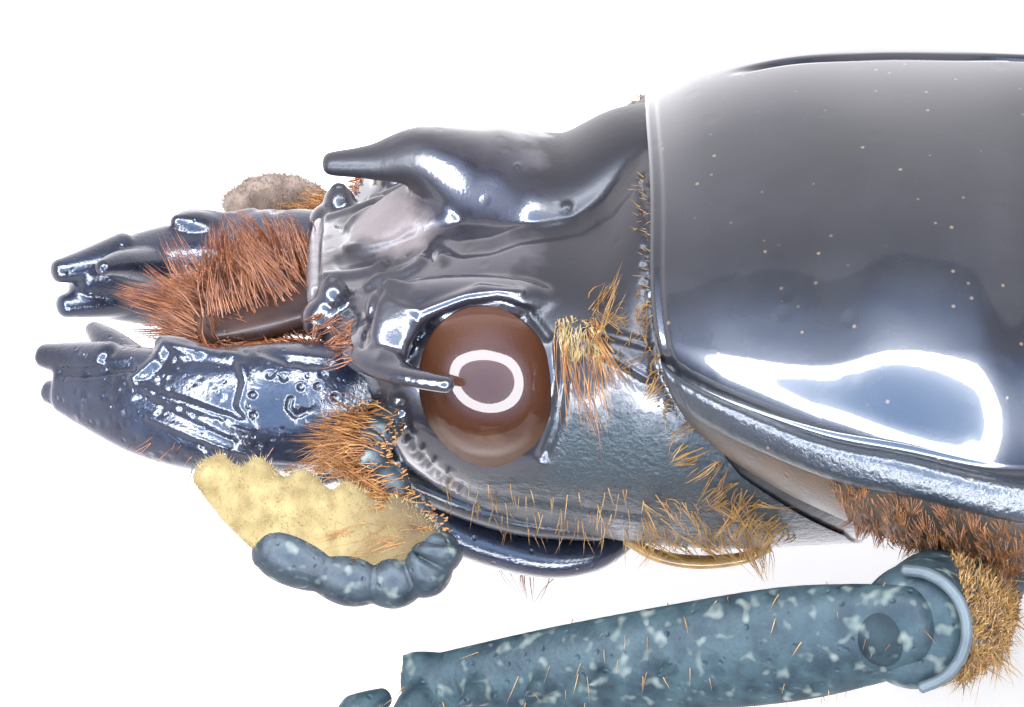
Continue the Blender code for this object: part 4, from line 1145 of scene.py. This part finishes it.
def build_mandible(word, side, material):
    lean = (0, -side * math.sin(MANDIBLE_LEAN), math.cos(MANDIBLE_LEAN))
    pieces = [limb("jaw", MANDIBLE, 64, 60, up=lean, roundness=2.6, ends=(0.4, 0.6), side=side)]
    pieces += [limb("tooth", tooth, 24, 16, side=side) for tooth in MANDIBLE_TEETH.values()]
    jaw = grow_together(f"jaw_{word}", pieces, 0.036, 6)
    rims = [([pit], 10, 0.03) for pit in JAW_PITS]
    pits = [([pit], 6, -0.08) for pit in JAW_PITS]
    rng = np.random.default_rng(SEED)
    dents = []
    for _ in range(JAW_DENTS):
        place = (rng.uniform(*JAW_DENTS_ACROSS), rng.uniform(*JAW_DENTS_DOWN))
        dents.append(([place], rng.uniform(*JAW_DENT_WIDTHS), -JAW_DENT_DEPTH))
    edge = ([*JAW_FACET, JAW_FACET[0]], 7, 0.035)
    sculpt(jaw, [*JAW_RELIEFS, edge, *rims, *pits, *dents], [(JAW_FACET, 9, -0.06)])
    finish(jaw, material, f"mandible_{word}")


def beaded(route, count, slim, swell, steps, exponent=1.0):
    """The points of a limb along a route, whose radius swells over each of its beads."""
    points = []
    for k in range(steps + 1):
        radius = slim + swell * abs(math.sin(count * math.pi * k / steps)) ** exponent
        points.append((*curve_point(route, k / steps), radius, radius))
    return points


def build_mouth():
    """Hard blue-black jaws, feelers and chin, a reddish upper lip, and soft wet amber lobes behind."""
    jaw = jaw_cuticle()
    amber = membrane("maxilla_skin", "#6e3d22", "#a4683e")
    for side, word in SIDES:
        build_mandible(word, side, jaw)
        for kind, route in (("maxillary", MAXILLARY_PALP), ("labial", LABIAL_PALP)):
            beads = beaded(route, PALP_SEGMENTS, 0.2, 0.1, 36, 0.7)
            feeler = limb(f"{kind}_feeler_{word}", beads, 20, 48, side=side)
            finish(feeler, jaw, f"{kind}_palp_{word}")
        finish(limb(f"maxilla_{word}", MAXILLA, 32, 40, side=side), amber)
    finish(limb("upper_lip", LABRUM, 96, 80, roundness=2.4), lip_cuticle(), "labrum")
    finish(limb("chin_plate", LABIUM, 120, 100, roundness=2.3), jaw, "labium")


def build_club(word, side, dark, down):
    """The club: a dark scalloped shaft along its outside, and the downy leaves that stand off it."""
    feeler = ANTENNAE[word]
    route, thick, count = feeler["club"], feeler["shaft"], len(feeler["leaves"])
    steps = 8 * count
    shaft = beaded(route, count, 0.86 * thick, 0.2 * thick, steps)
    finish(limb(f"club_shaft_{word}", shaft, 24, 6 * steps, side=side), dark)
    leaves = []
    for k, tip in enumerate(feeler["leaves"]):
        root = Vector(curve_point(route, (k + 1.0) / (count + 0.3))) + Vector((0, 0, 0.08))
        places = (root, (root + Vector(tip)) / 2, Vector(tip))
        points = [(*place, *radii) for place, radii in zip(places, feeler["leaf_radii"])]
        leaves.append(limb("leaf", points, 24, 24, up=(1, 0, 0), roundness=2.4, side=side))
    mass = grow_together(f"club_leaves_{word}", leaves, 0.035, 14)
    finish(mass, down, f"antenna_{word}_club", slot="club")


def build_antennae():
    """Dull beaded stalks dusted with down. One club's velvet is horn yellow, and the other's is the same
    velvet painted brown as painted shade.
    """
    dark = downy_cuticle("feeler_cuticle", "#1f2a33", "#3a4852", 0.5, 0.2, blot=0.3, grain_depth=0.006,
                         pit=0.2, pit_depth=0.012, coat=0.08, gloss=0.25)
    yellow = velvet("yellow_velvet", "#867446", "#aa9a6a", "#4a3417")
    # The far club's brown velvet and down are painted shade over the same horn yellow velvet as the near
    # club's
    brown = velvet("velvet_in_painted_shade", "#7d6e66", "#a08f84", "#7d6e66")
    for side, word in SIDES:
        beads = beaded(ANTENNAE[word]["stalk"], STALK_BEADS, 0.19, 0.1, 4 * STALK_BEADS)
        stalk = limb(f"feeler_beads_{word}", beads, 20, 24 * STALK_BEADS, side=side)
        finish(stalk, dark, f"antenna_{word}_stalk")
    for side, word in SIDES:
        build_club(word, side, dark, yellow if side < 0 else brown)


# Prothorax


def smooth_step(value, low, high):
    t = min(1.0, max(0.0, (value - low) / (high - low)))
    return t * t * (3 - 2 * t)


def front_warp(x, z, start, stop):
    """x moved so that the front edge at `start` follows the slanting joint."""
    share = max(0.0, (stop - x) / (stop - start))
    return x + share**2 * (neck_x(z) + COLLAR_GAP - start)


def arch_point(width, height, side, slope):
    """The point of a three-arc arch where its normal has that slope: y, and z above its foot."""
    side_sin, side_cos = math.sin(SIDE_SLOPE), math.cos(SIDE_SLOPE)
    top_sin, top_cos = math.sin(TOP_SLOPE), math.cos(TOP_SLOPE)
    if slope <= SIDE_SLOPE:
        return width - side * (1 - math.cos(slope)), side * math.sin(slope)
    inward, upward = width - side * (1 - side_cos), height - side * side_sin
    scale = top_cos * (top_sin - side_sin) - (1 - top_sin) * (side_cos - top_cos)
    top = (inward * (top_sin - side_sin) - upward * (side_cos - top_cos)) / scale
    if slope >= TOP_SLOPE:
        return top * math.cos(slope), height - top * (1 - math.sin(slope))
    flank = (top_cos * upward - (1 - top_sin) * inward) / scale
    y = inward - flank * (side_cos - math.cos(slope))
    return y, side * side_sin + flank * (math.sin(slope) - side_sin)


def pronotum_half(x, count=150):
    """Half of a cross-section from the midline to under the beaded side edge: y, z."""
    half_width, top, edge, _, side, inset, rise = read_rows(PROTHORAX_ROWS, x)
    foot = edge + rise
    outline = []
    for k in range(count + 1):
        y, z = arch_point(half_width - inset, top - foot, side, math.pi / 2 * (1 - k / count))
        depth = SULCUS_DEPTH * smooth_step(x, *SULCUS_FRONT) * (1 - smooth_step(x, *SULCUS_BACK))
        outline.append((y, foot + z - depth * float(hump(y, SULCUS_HALF_WIDTH))))
    gutter = (half_width - inset + 0.04, foot - GUTTER_DEPTH)
    bead = [gutter] + [(half_width + y, edge + z) for y, z in smooth_route(SIDE_BEAD, BEAD_STEPS)]
    return outline + bead


def build_pronotum():
    """The shield, with a fine rim along its front edge. Its flat side bead is marked as dull."""
    start, stop = PROTHORAX_ROWS[0][0], PROTHORAX_ROWS[-1][0]
    stations = [start + (stop - start) * 0.5 * (1 - math.cos(math.pi * s)) for s in even(0, 1, 220)]
    rings = []
    for x in stations:
        half = pronotum_half(x)
        ring = [(x, -y, z) for y, z in half[:0:-1]] + [(x, y, z) for y, z in half]
        rim = RIM_HEIGHT * float(hump(x - start - 0.05, 0.05) - hump(x - start - 0.15, 0.06))
        ring = [(x, y * (1 + rim / 5), z + rim) for x, y, z in ring]
        rings.append([(front_warp(x, z, start, stop), y, z) for x, y, z in ring])
    shield = loft("prothorax_shield", rings)
    dull = shield.data.attributes.new("dull", "FLOAT", "POINT")
    bead, last = BEAD_STEPS + 1, len(rings[0])
    ring = [1.0 if k < bead or k >= last - bead else 0.0 for k in range(last)]
    dull.data.foreach_set("value", ring * len(rings) + [0.0, 0.0])
    finish(shield, shield_cuticle(), "pronotum")


def keel_ring(x, half_width, lid, depth, rounding, sides):
    """A cross-section that is flat above, at the lid, and rounded below it."""
    ring = [(x, half_width, lid), (x, 0.0, lid), (x, -half_width, lid)]
    for k in range(1, sides):
        angle = math.pi * (1 + k / sides)
        y = half_width * power(math.cos(angle), rounding)
        ring.append((x, y, lid + depth * power(math.sin(angle), rounding)))
    return ring


def build_prosternum():
    start, stop = PROTHORAX_ROWS[0][0], PROTHORAX_ROWS[-1][0]
    rings = []
    for x in even(start, stop, 120):
        half_width, _, edge, bottom, *_ = read_rows(PROTHORAX_ROWS, x)
        lid = edge - PROSTERNUM_DROP
        ring = keel_ring(x, half_width - PROSTERNUM_INSET, lid, lid - bottom, PROSTERNUM_ROUNDING, 120)
        rings.append([(front_warp(x, z, start, stop), y, z) for x, y, z in ring])
    finish(loft("prothorax_underside", rings), breast_cuticle(), "prosternum", slot="underside")


# Hind body


def declivity(x):
    """The share of the full size left at x: 1 ahead of the slope at the end, 0 at its foot."""
    t = max(0.0, (x - DECLIVITY_X) / (DECLIVITY_END_X - DECLIVITY_X))
    return max(0.0, 1 - t**DECLIVITY_POWER) ** (1 / DECLIVITY_POWER)


def shoulder(x):
    """The share of the full width at x, less than 1 only near the wing cases' front edge."""
    t = min(1.0, (x - ELYTRA_START_X) / SHOULDER_LENGTH)
    return SHOULDER_START + (1 - SHOULDER_START) * math.sqrt(1 - (1 - t) ** 2)


def elytron_ring(x, side, count=200):
    """A cross-section of one wing case with its pitted grooves."""
    size = declivity(x)
    width = ELYTRA_HALF_WIDTH * shoulder(x) * size
    rise = (ELYTRA_TOP - ELYTRA_EDGE_Z) * (0.55 + 0.45 * shoulder(x)) * (0.06 + 0.94 * size)
    fade = min(1.0, size * 1.5) * smooth_step(x, *STRIAE_START)
    spread = 2 * STRIAE + 0.6
    ring = []
    for k in range(count + 1):
        at = (spread - 0.6) * k / count
        angle = math.pi / 2 * (1 - at / spread)
        nearest = 2 * round((at - 1) / 2) + 1
        offset = (at - nearest) * 0.5
        along = (x / STRIA_PIT_SPACING + 0.37 * nearest) % 1 - 0.5
        reach = math.hypot(along * STRIA_PIT_SPACING, offset)
        depth = STRIA_DEPTH * float(hump(offset, STRIA_HALF_WIDTH))
        depth += STRIA_PIT_DEPTH * float(hump(reach, STRIA_PIT_RADIUS))
        y = width * power(math.cos(angle), 2 / ELYTRA_POWER)
        z = rise * power(math.sin(angle), 2 / ELYTRA_POWER)
        scale = 1 - fade * depth / max(math.hypot(y, z), 0.5)
        ring.append((x, side * max(scale * y, SEAM_GAP), ELYTRA_EDGE_Z + scale * z))
    ring.append((x, side * SEAM_GAP, ELYTRA_EDGE_Z))
    return ring


def build_elytra():
    material = wing_case_cuticle()
    stations = even(ELYTRA_START_X, ELYTRA_END_X, 210) + ELYTRA_LAST_X
    for side, word in SIDES:
        case = loft(f"wing_case_{word}", [elytron_ring(x, side) for x in stations])
        finish(case, material, f"elytron_{word}")


def build_waist():
    rows = [(x, *read_rows(PEDICEL_ROWS, x)) for x in even(PEDICEL_ROWS[0][0], PEDICEL_ROWS[-1][0], 30)]
    waist = loft("waist", [body_ring(row, 96, PEDICEL_POWERS) for row in rows])
    finish(waist, wing_case_cuticle(), "pedicel")
    (front_x, half, front_top), (corner_x, _, corner_top), (tip_x, _, tip_top) = SCUTELLUM
    corners = [(front_x, -half), (front_x, half), (corner_x, half), (tip_x, 0.0), (corner_x, -half)]
    tops = [front_top, front_top, corner_top, tip_top, corner_top]
    roof = [(x, y, top) for (x, y), top in zip(corners, tops)]
    plate = loft("scutellum_plate", [[(x, y, SCUTELLUM_FLOOR) for x, y in corners], roof])
    bevel = plate.modifiers.new("bevel", "BEVEL")
    bevel.width = SCUTELLUM_BEVEL
    bevel.segments = 4
    apply_modifiers(plate)
    finish(plate, shield_cuticle(), "scutellum")


def venter_ring(x, squeeze=1.0):
    half_width, bottom = read_rows(VENTER_ROWS, x)
    half_width = min(half_width, ELYTRA_HALF_WIDTH * declivity(x) - VENTER_INSET)
    lid = ELYTRA_EDGE_Z - VENTER_DROP
    return keel_ring(x, half_width, lid, squeeze * (lid - bottom), VENTER_ROUNDING, 80)


def build_venter():
    """The chest plate, and the belly with a pinch at each joint."""
    dull = underside_cuticle()
    chest = [venter_ring(x) for x in even(METASTERNUM_START_X, METASTERNUM_END_X, 60)]
    belly = []
    for x in even(METASTERNUM_END_X, VENTER_ROWS[-1][0], 160):
        pinch = sum(float(hump(x - joint, JOINT_HALF_WIDTH)) for joint in ABDOMEN_JOINTS)
        belly.append(venter_ring(x, 1 - JOINT_PINCH * pinch))
    finish(loft("chest_plate", chest), dull, "metasternum", slot="underside")
    finish(loft("belly", belly), dull, "abdomen", slot="underside")


# Legs


def leg_of(pair, side):
    leg = RIGHT_FORE_LEG if pair == "fore" and side > 0 else LEGS[pair]
    return {key: Vector(value) if key in LEG_PLACES else value for key, value in leg.items()}


def spike(root, tip, radius, side):
    middle = (root + tip) / 2
    points = [(*root, radius, radius), (*middle, 0.75 * radius, 0.75 * radius), (*tip, 0.05, 0.05)]
    return limb("spike", points, 14, 12, up=(1, 0, 0.3), side=side)


def build_hip_and_thigh(leg, name, side, material, pale):
    centre, hip, knee = leg["coxa"], leg["hip"], leg["knee"]
    points = [(*place, *radii) for place, radii in zip((centre, (centre + hip) / 2, hip), COXA_RADII)]
    finish(limb(f"hip_{name}", points, 40, 30, side=side), material, f"coxa_{name}", slot="leg")
    points = []
    for share, swell in leg["femur_swell"]:
        radius = swell * leg["femur_radius"]
        points.append((*hip.lerp(knee, share), leg["femur_flatness"] * radius + 0.08, radius))
    thigh = limb(f"thigh_{name}", points, 64, 64, ends=(0.6, 0.25), side=side)
    finish(thigh, material, f"femur_{name}", slot="leg")
    # The knee lip's pale colour is a painted highlight.
    finish(knee_cuff(leg, name, side, radius), pale, slot="leg")


def knee_cuff(leg, name, side, radius):
    """The lip round the end of a thigh, open on the side where the shin leaves it. Its pale colour is a
    painted highlight.
    """
    along = (leg["knee"] - leg["hip"]).normalized()
    away = leg["knee"] - leg["ankle"]
    away = (away - along * away.dot(along)).normalized()
    over = along.cross(away)
    points = []
    for turn in even(-CUFF_REACH, CUFF_REACH, 9):
        place = leg["knee"] + along * CUFF_LIFT + radius * (away * math.cos(turn) + over * math.sin(turn))
        points.append((*place, CUFF_RADIUS, CUFF_RADIUS))
    return limb(f"painted_highlight_knee_lip_{name}", points, 14, 60, up=along, side=side)


def build_shin(leg, name, side, material, dark):
    """The shin with its teeth and spurs, and the ball of the knee joint."""
    knee, ankle = leg["knee"], leg["ankle"]
    slim, wide = leg["tibia_radii"]
    points = []
    for share, swell in leg["tibia_swell"]:
        points.append((*knee.lerp(ankle, share), max(TIBIA_LEAST_RADIUS, slim * swell), wide * swell))
    pieces = [limb("shin", points, 48, 60, ends=(1.1, 0.6), side=side)]
    along = (ankle - knee).normalized()
    outward = Vector((0, 1, 0.15))
    outward = (outward - along * outward.dot(along)).normalized()
    upward = along.cross(outward)
    for k in range(leg["teeth"]):
        root = knee.lerp(ankle, TOOTH_START - TOOTH_SPACING * k)
        radius = TOOTH_RADIUS - TOOTH_TAPER * k
        tip = root + outward * (TOOTH_REACH + 1.5 * radius) + along * TOOTH_LEAN
        pieces.append(spike(root, tip, radius, side))
    for turn in (-1, 1):
        root = knee.lerp(ankle, SPUR_START) + upward * turn * SPUR_PLACE
        tip = root + along * leg["spur"] + upward * turn * SPUR_SPREAD * leg["spur"]
        pieces.append(spike(root, tip, SPUR_RADIUS, side))
    finish(grow_together(f"shin_{name}", pieces, 0.06, 5), material, f"tibia_{name}", slot="leg")
    joint = knee.lerp(ankle, KNEE_BALL_SHARE) + Vector((0, KNEE_BALL_REACH, 0))
    finish(ball(f"knee_ball_{name}", mirrored(joint, side), KNEE_BALL, 40, 28), dark, slot="leg")


def build_foot(leg, name, side, material):
    """Five segments, two claws and the pad that is cut flat at the floor."""
    ankle, foot = leg["ankle"], leg["foot"]
    start = ankle + (ankle - leg["knee"]).normalized() * TARSUS_GAP
    lift = Vector((0, 0, TARSUS_LIFT))
    middle = (start + foot) / 2 + lift
    route = [tuple(start), tuple(middle), tuple(foot + lift)]
    pieces = []
    for k in range(TARSUS_SEGMENTS):
        low, high = k / TARSUS_SEGMENTS, (k + 0.98) / TARSUS_SEGMENTS
        points = []
        for share, swell in SEGMENT_SWELL:
            radius = TARSUS_RADIUS * swell
            points.append((*curve_point(route, low + share * (high - low)), radius, radius))
        pieces.append(limb("segment", points, 20, 14, side=side))
    forward = foot - middle
    forward.z = 0
    forward.normalize()
    across = forward.cross(Vector((0, 0, 1)))
    for turn in (-1, 1):
        sideways = across * turn * CLAW_SPREAD
        heel = foot + Vector((0, 0, 0.1))
        bend = foot + forward * 0.55 * CLAW_LENGTH + 0.7 * sideways + Vector((0, 0, 0.14))
        tip = foot + forward * CLAW_LENGTH + sideways - Vector((0, 0, foot.z - 0.05))
        points = [(*place, *radii) for place, radii in zip((heel, bend, tip), CLAW_RADII)]
        pieces.append(limb("claw", points, 16, 16, side=side))
    pad = [(*place, PAD_RADIUS, PAD_RADIUS) for place in (foot, foot - forward * PAD_LENGTH)]
    pieces.append(limb("pad", pad, 20, 8, side=side))
    toes = grow_together(f"foot_{name}", pieces, 0.04, 3)
    points = read_points(toes.data)
    points[:, 2] = np.maximum(points[:, 2], 0.0)
    set_points(toes, points)
    finish(toes, material, f"tarsus_{name}", slot="leg")


def build_legs():
    """Dull blue-grey legs dusted with down, with a bare, paler lip at each knee whose pale colour is a
    painted highlight.
    """
    material = downy_cuticle("leg_cuticle", "#1e2f39", "#3a5058", 0.6, blot=0.35, grain_depth=0.008,
                             pit=0.24, pit_depth=0.02, coat=0.06, gloss=0.15)
    # The knee lips are painted paler, a painted highlight round the end of each thigh.
    pale = cuticle("painted_highlight_knee_lip", "#3a474f", "#5e6c74", 0.55, coat=0.1, gloss=0.3)
    dark = downy_cuticle("knee_skin", "#19262e", "#2e4048", 0.7, blot=0.35, grain_depth=0.01,
                         pit=0.24, pit_depth=0.02, coat=0.0, gloss=0.12)
    for pair in LEGS:
        for side, word in SIDES:
            leg, name = leg_of(pair, side), f"{pair}_{word}"
            build_hip_and_thigh(leg, name, side, material, pale)
            build_shin(leg, name, side, material, dark)
            build_foot(leg, name, side, material)


# Hairs


def read_faces(mesh, key, width):
    values = np.empty(width * len(mesh.polygons))
    mesh.polygons.foreach_get(key, values)
    return values.reshape(-1, width)


def roots_on(skin, patch, count, rng, around):
    """Seeded places and normals on a finished skin, or on what the photo's patch covers of it."""
    centres = read_faces(skin.data, "center", 3) / MM + (CENTRE_X, 0, 0)
    normals = read_faces(skin.data, "normal", 3)
    weights = read_faces(skin.data, "area", 1)[:, 0] / MM**2
    if patch is not None:
        shown = depth_in_patch(picture_places(centres), patch) > 0
        weights = weights * (shown & (around | (facing(centres, normals) > 0)))
    chosen = rng.choice(len(weights), count, p=weights / weights.sum())
    jitter = rng.normal(0, 0.4, (count, 3)) * np.sqrt(weights[chosen])[:, None]
    return centres[chosen] + np.clip(jitter, -0.1, 0.1), normals[chosen]


def unit(vectors):
    return vectors / np.maximum(np.linalg.norm(vectors, axis=1, keepdims=True), 1e-9)


def gather(roots, tips, tufts):
    """Draws the hairs' tips together in tufts, each round one of the first hairs."""
    if not tufts:
        return tips
    apart = np.linalg.norm(roots[:, None] - roots[None, :tufts], axis=2)
    leader = tips[np.argmin(apart, axis=1)]
    return tips + TUFT_PULL * (leader - tips)


def add_hairs(name, skin, material, count, lengths, width, lie, patch, stand, spread, tufts=0,
              droop=(0, 0, 0), slot="black_shell", around=False):
    """Grows tapering bent hairs from a skin. `lie` and `droop` point outward where their y is over 0."""
    rng = np.random.default_rng(SEED + sum(name.encode()))
    roots, normals = roots_on(skin, patch, count, rng, around)
    outward = np.column_stack([np.ones(count), np.where(roots[:, 1] > 0, 1, -1), np.ones(count)])
    along = unit(normals * stand + np.array(lie) * outward + rng.normal(0, spread, (count, 3)))
    reach = rng.uniform(*lengths, count)[:, None]
    bend = (np.array(droop) * outward + rng.normal(0, 0.12, (count, 3))) * reach
    bend = gather(roots, roots + along * reach + bend, tufts) - roots - along * reach
    side = unit(np.cross(along, rng.normal(size=(count, 3))))
    over = np.cross(along, side)
    thick = width * rng.uniform(0.7, 1.2, count)[:, None]
    rings = []
    for share, size in HAIR_TAPER:
        centre = roots - along * HAIR_ROOT + along * reach * share + bend * share**2
        for turn in (0, 120, 240):
            angle = math.radians(turn)
            rings.append(centre + thick * size / 2 * (side * math.cos(angle) + over * math.sin(angle)))
    rings.append(roots + along * reach + bend)
    size = len(rings)
    cell = []
    for low in range(0, size - 4, 3):
        for k in range(3):
            beside = (k + 1) % 3
            cell.append((low + k, low + beside, low + beside + 3, low + k + 3))
    cell += [(size - 4 + k, size - 4 + (k + 1) % 3, size - 1) for k in range(3)]
    faces = [tuple(base + k for k in face) for base in range(0, count * size, size) for face in cell]
    coat = add_object(name, np.stack(rings, axis=1).reshape(-1, 3), faces)
    unwrap_at_roots(coat, roots, size)
    finish(coat, material, slot=slot)


def unwrap_at_roots(coat, roots, size):
    """Gives each hair a small patch at its root's place on the beetle's unrolled skin."""
    around = np.arctan2(roots[:, 1], roots[:, 2] - BODY_AXIS_Z) / (2 * math.pi) + 0.5
    ahead = (roots[:, 0] + CENTRE_X / 2) / BODY_LENGTH
    owner = np.empty(len(coat.data.loops), int)
    coat.data.loops.foreach_get("vertex_index", owner)
    hair, place = owner // size, owner % size
    across = HAIR_PATCH * (place % 3) / 2
    along = HAIR_PATCH * place / size
    layer = coat.data.uv_layers.new(name="OFBake")
    layer.data.foreach_set("uv", np.column_stack([ahead[hair] + across, around[hair] + along]).ravel())


def build_hairs():
    bristles = {name: bristle(name, *colours) for name, colours in BRISTLES.items()}
    sides = [word for _, word in SIDES]
    legs = [f"{pair}_{word}" for pair in LEGS for word in sides]
    for name, skin, kind, *growth in HAIR_COATS:
        for word in sides if "{side}" in name else legs if "{leg}" in name else [""]:
            piece = bpy.data.objects[skin.format(side=word, leg=word)]
            add_hairs(name.format(side=word, leg=word), piece, bristles[kind], *growth)


# Studio


def to_frame(place):
    return Vector(((place[0] - CENTRE_X) * MM, place[1] * MM, place[2] * MM))


def add_camera():
    """The photo's view, from the beetle's left and a little above."""
    data = bpy.data.cameras.new("camera")
    data.lens = LENS
    data.sensor_width = SENSOR
    data.clip_start = 0.001
    data.clip_end = 20
    camera = bpy.data.objects.new("camera", data)
    bpy.context.scene.collection.objects.link(camera)
    back = Vector((0, -math.cos(CAMERA_ELEVATION), math.sin(CAMERA_ELEVATION)))
    camera.location = to_frame(AIM) + back * CAMERA_DISTANCE * MM
    camera.rotation_euler = (math.pi / 2 - CAMERA_ELEVATION, 0, 0)
    bpy.context.scene.camera = camera
    return back


def glow(name, colour, strength):
    """A lamp's glowing face."""
    material = bpy.data.materials.new(name)
    material.use_nodes = True
    material.node_tree.nodes.remove(shader_of(material))
    light = add_node(material, "Emission", {"Color": linear(colour), "Strength": strength})
    feed(material, material.node_tree.nodes["Material Output"], {"Surface": light})
    return material


def fade_out(material, centre, full, none, strength):
    """Lets a lamp's glow fall evenly from full strength to none between two distances from its centre."""
    place = add_node(material, "NewGeometry", output="Position")
    away = add_node(material, "VectorMath", (place, centre), "Value", operation="DISTANCE")
    faded = add_node(material, "MapRange", (away, full * MM, none * MM, strength, 0.0))
    feed(material, material.node_tree.nodes["Emission"], {"Strength": faded})
    return material


def add_ring(name, centre, back, inner, outer, material, steps=96):
    """A flat ring lamp round the lens, seen only in what is polished."""
    right = Vector((1, 0, 0))
    over = right.cross(-back).normalized()
    points, faces = [], []
    for k in range(steps):
        turn = 2 * math.pi * k / steps
        ray = right * math.cos(turn) + over * math.sin(turn)
        points += [centre + ray * inner * MM, centre + ray * outer * MM]
        after = (k + 1) % steps
        faces.append((2 * k, 2 * k + 1, 2 * after + 1, 2 * after))
    lamp = add_object(name, points, faces)
    lamp.data.materials.append(material)
    lamp.visible_camera = False
    lamp.visible_diffuse = False
    lamp.visible_shadow = False


def add_lamps(back):
    """A ring lamp round the lens with its bluish haze, which dies away outside, and soft light in front."""
    centre = to_frame(AIM) + back * RING_DISTANCE * MM
    add_ring("ring_lamp", centre, back, RING_INNER, RING_OUTER, glow("ring_glow", "#f0f6ff", 30.0))
    add_ring("ring_haze", centre, back, 1.0, RING_INNER, glow("haze_glow", "#9fc8ff", 4.6))
    halo = fade_out(glow("halo_glow", "#86b4ff", HALO_STRENGTH), centre, *HALO_FADE, HALO_STRENGTH)
    add_ring("ring_halo", centre, back, RING_OUTER, HALO_OUTER, halo)
    sun = bpy.data.lights.new("key", "SUN")
    sun.energy = 5.0
    sun.angle = math.radians(50)
    key = bpy.data.objects.new("key", sun)
    key.rotation_euler = (math.radians(45), 0, math.radians(-10))
    key.visible_glossy = False
    bpy.context.scene.collection.objects.link(key)


def add_room():
    """A pale room, brighter toward the horizon and behind the beetle."""
    world = bpy.data.worlds.new("studio")
    world.use_nodes = True
    way = add_node(world, "TexCoord", output="Generated")
    height = add_node(world, "SeparateXYZ", (way,), "Z")
    behind = add_node(world, "SeparateXYZ", (way,), "Y")
    sky = add_node(world, "MapRange", (height, 0.1, 0.9, 1.5, 0.6))
    fill = add_node(world, "MapRange", (behind, 0.0, 0.7, 0.0, 1.1))
    strength = add_node(world, "Math", (sky, fill), operation="ADD")
    feed(world, world.node_tree.nodes["Background"], {"Color": linear("#f1eef4"), "Strength": strength})
    bpy.context.scene.world = world


def add_floor(half=4.0):
    corners = [(-half, -half, 0), (half, -half, 0), (half, half, 0), (-half, half, 0)]
    floor = add_object("floor", corners, [(0, 1, 2, 3)])
    floor.data.materials.append(paper())
    floor.visible_glossy = False


def main():
    build_head()
    build_eyes()
    build_neck()
    build_mouth()
    build_antennae()
    build_pronotum()
    build_prosternum()
    build_elytra()
    build_waist()
    build_venter()
    build_legs()
    build_hairs()
    add_floor()
    add_lamps(add_camera())
    add_room()
    bpy.context.scene.view_settings.view_transform = "Standard"


main()
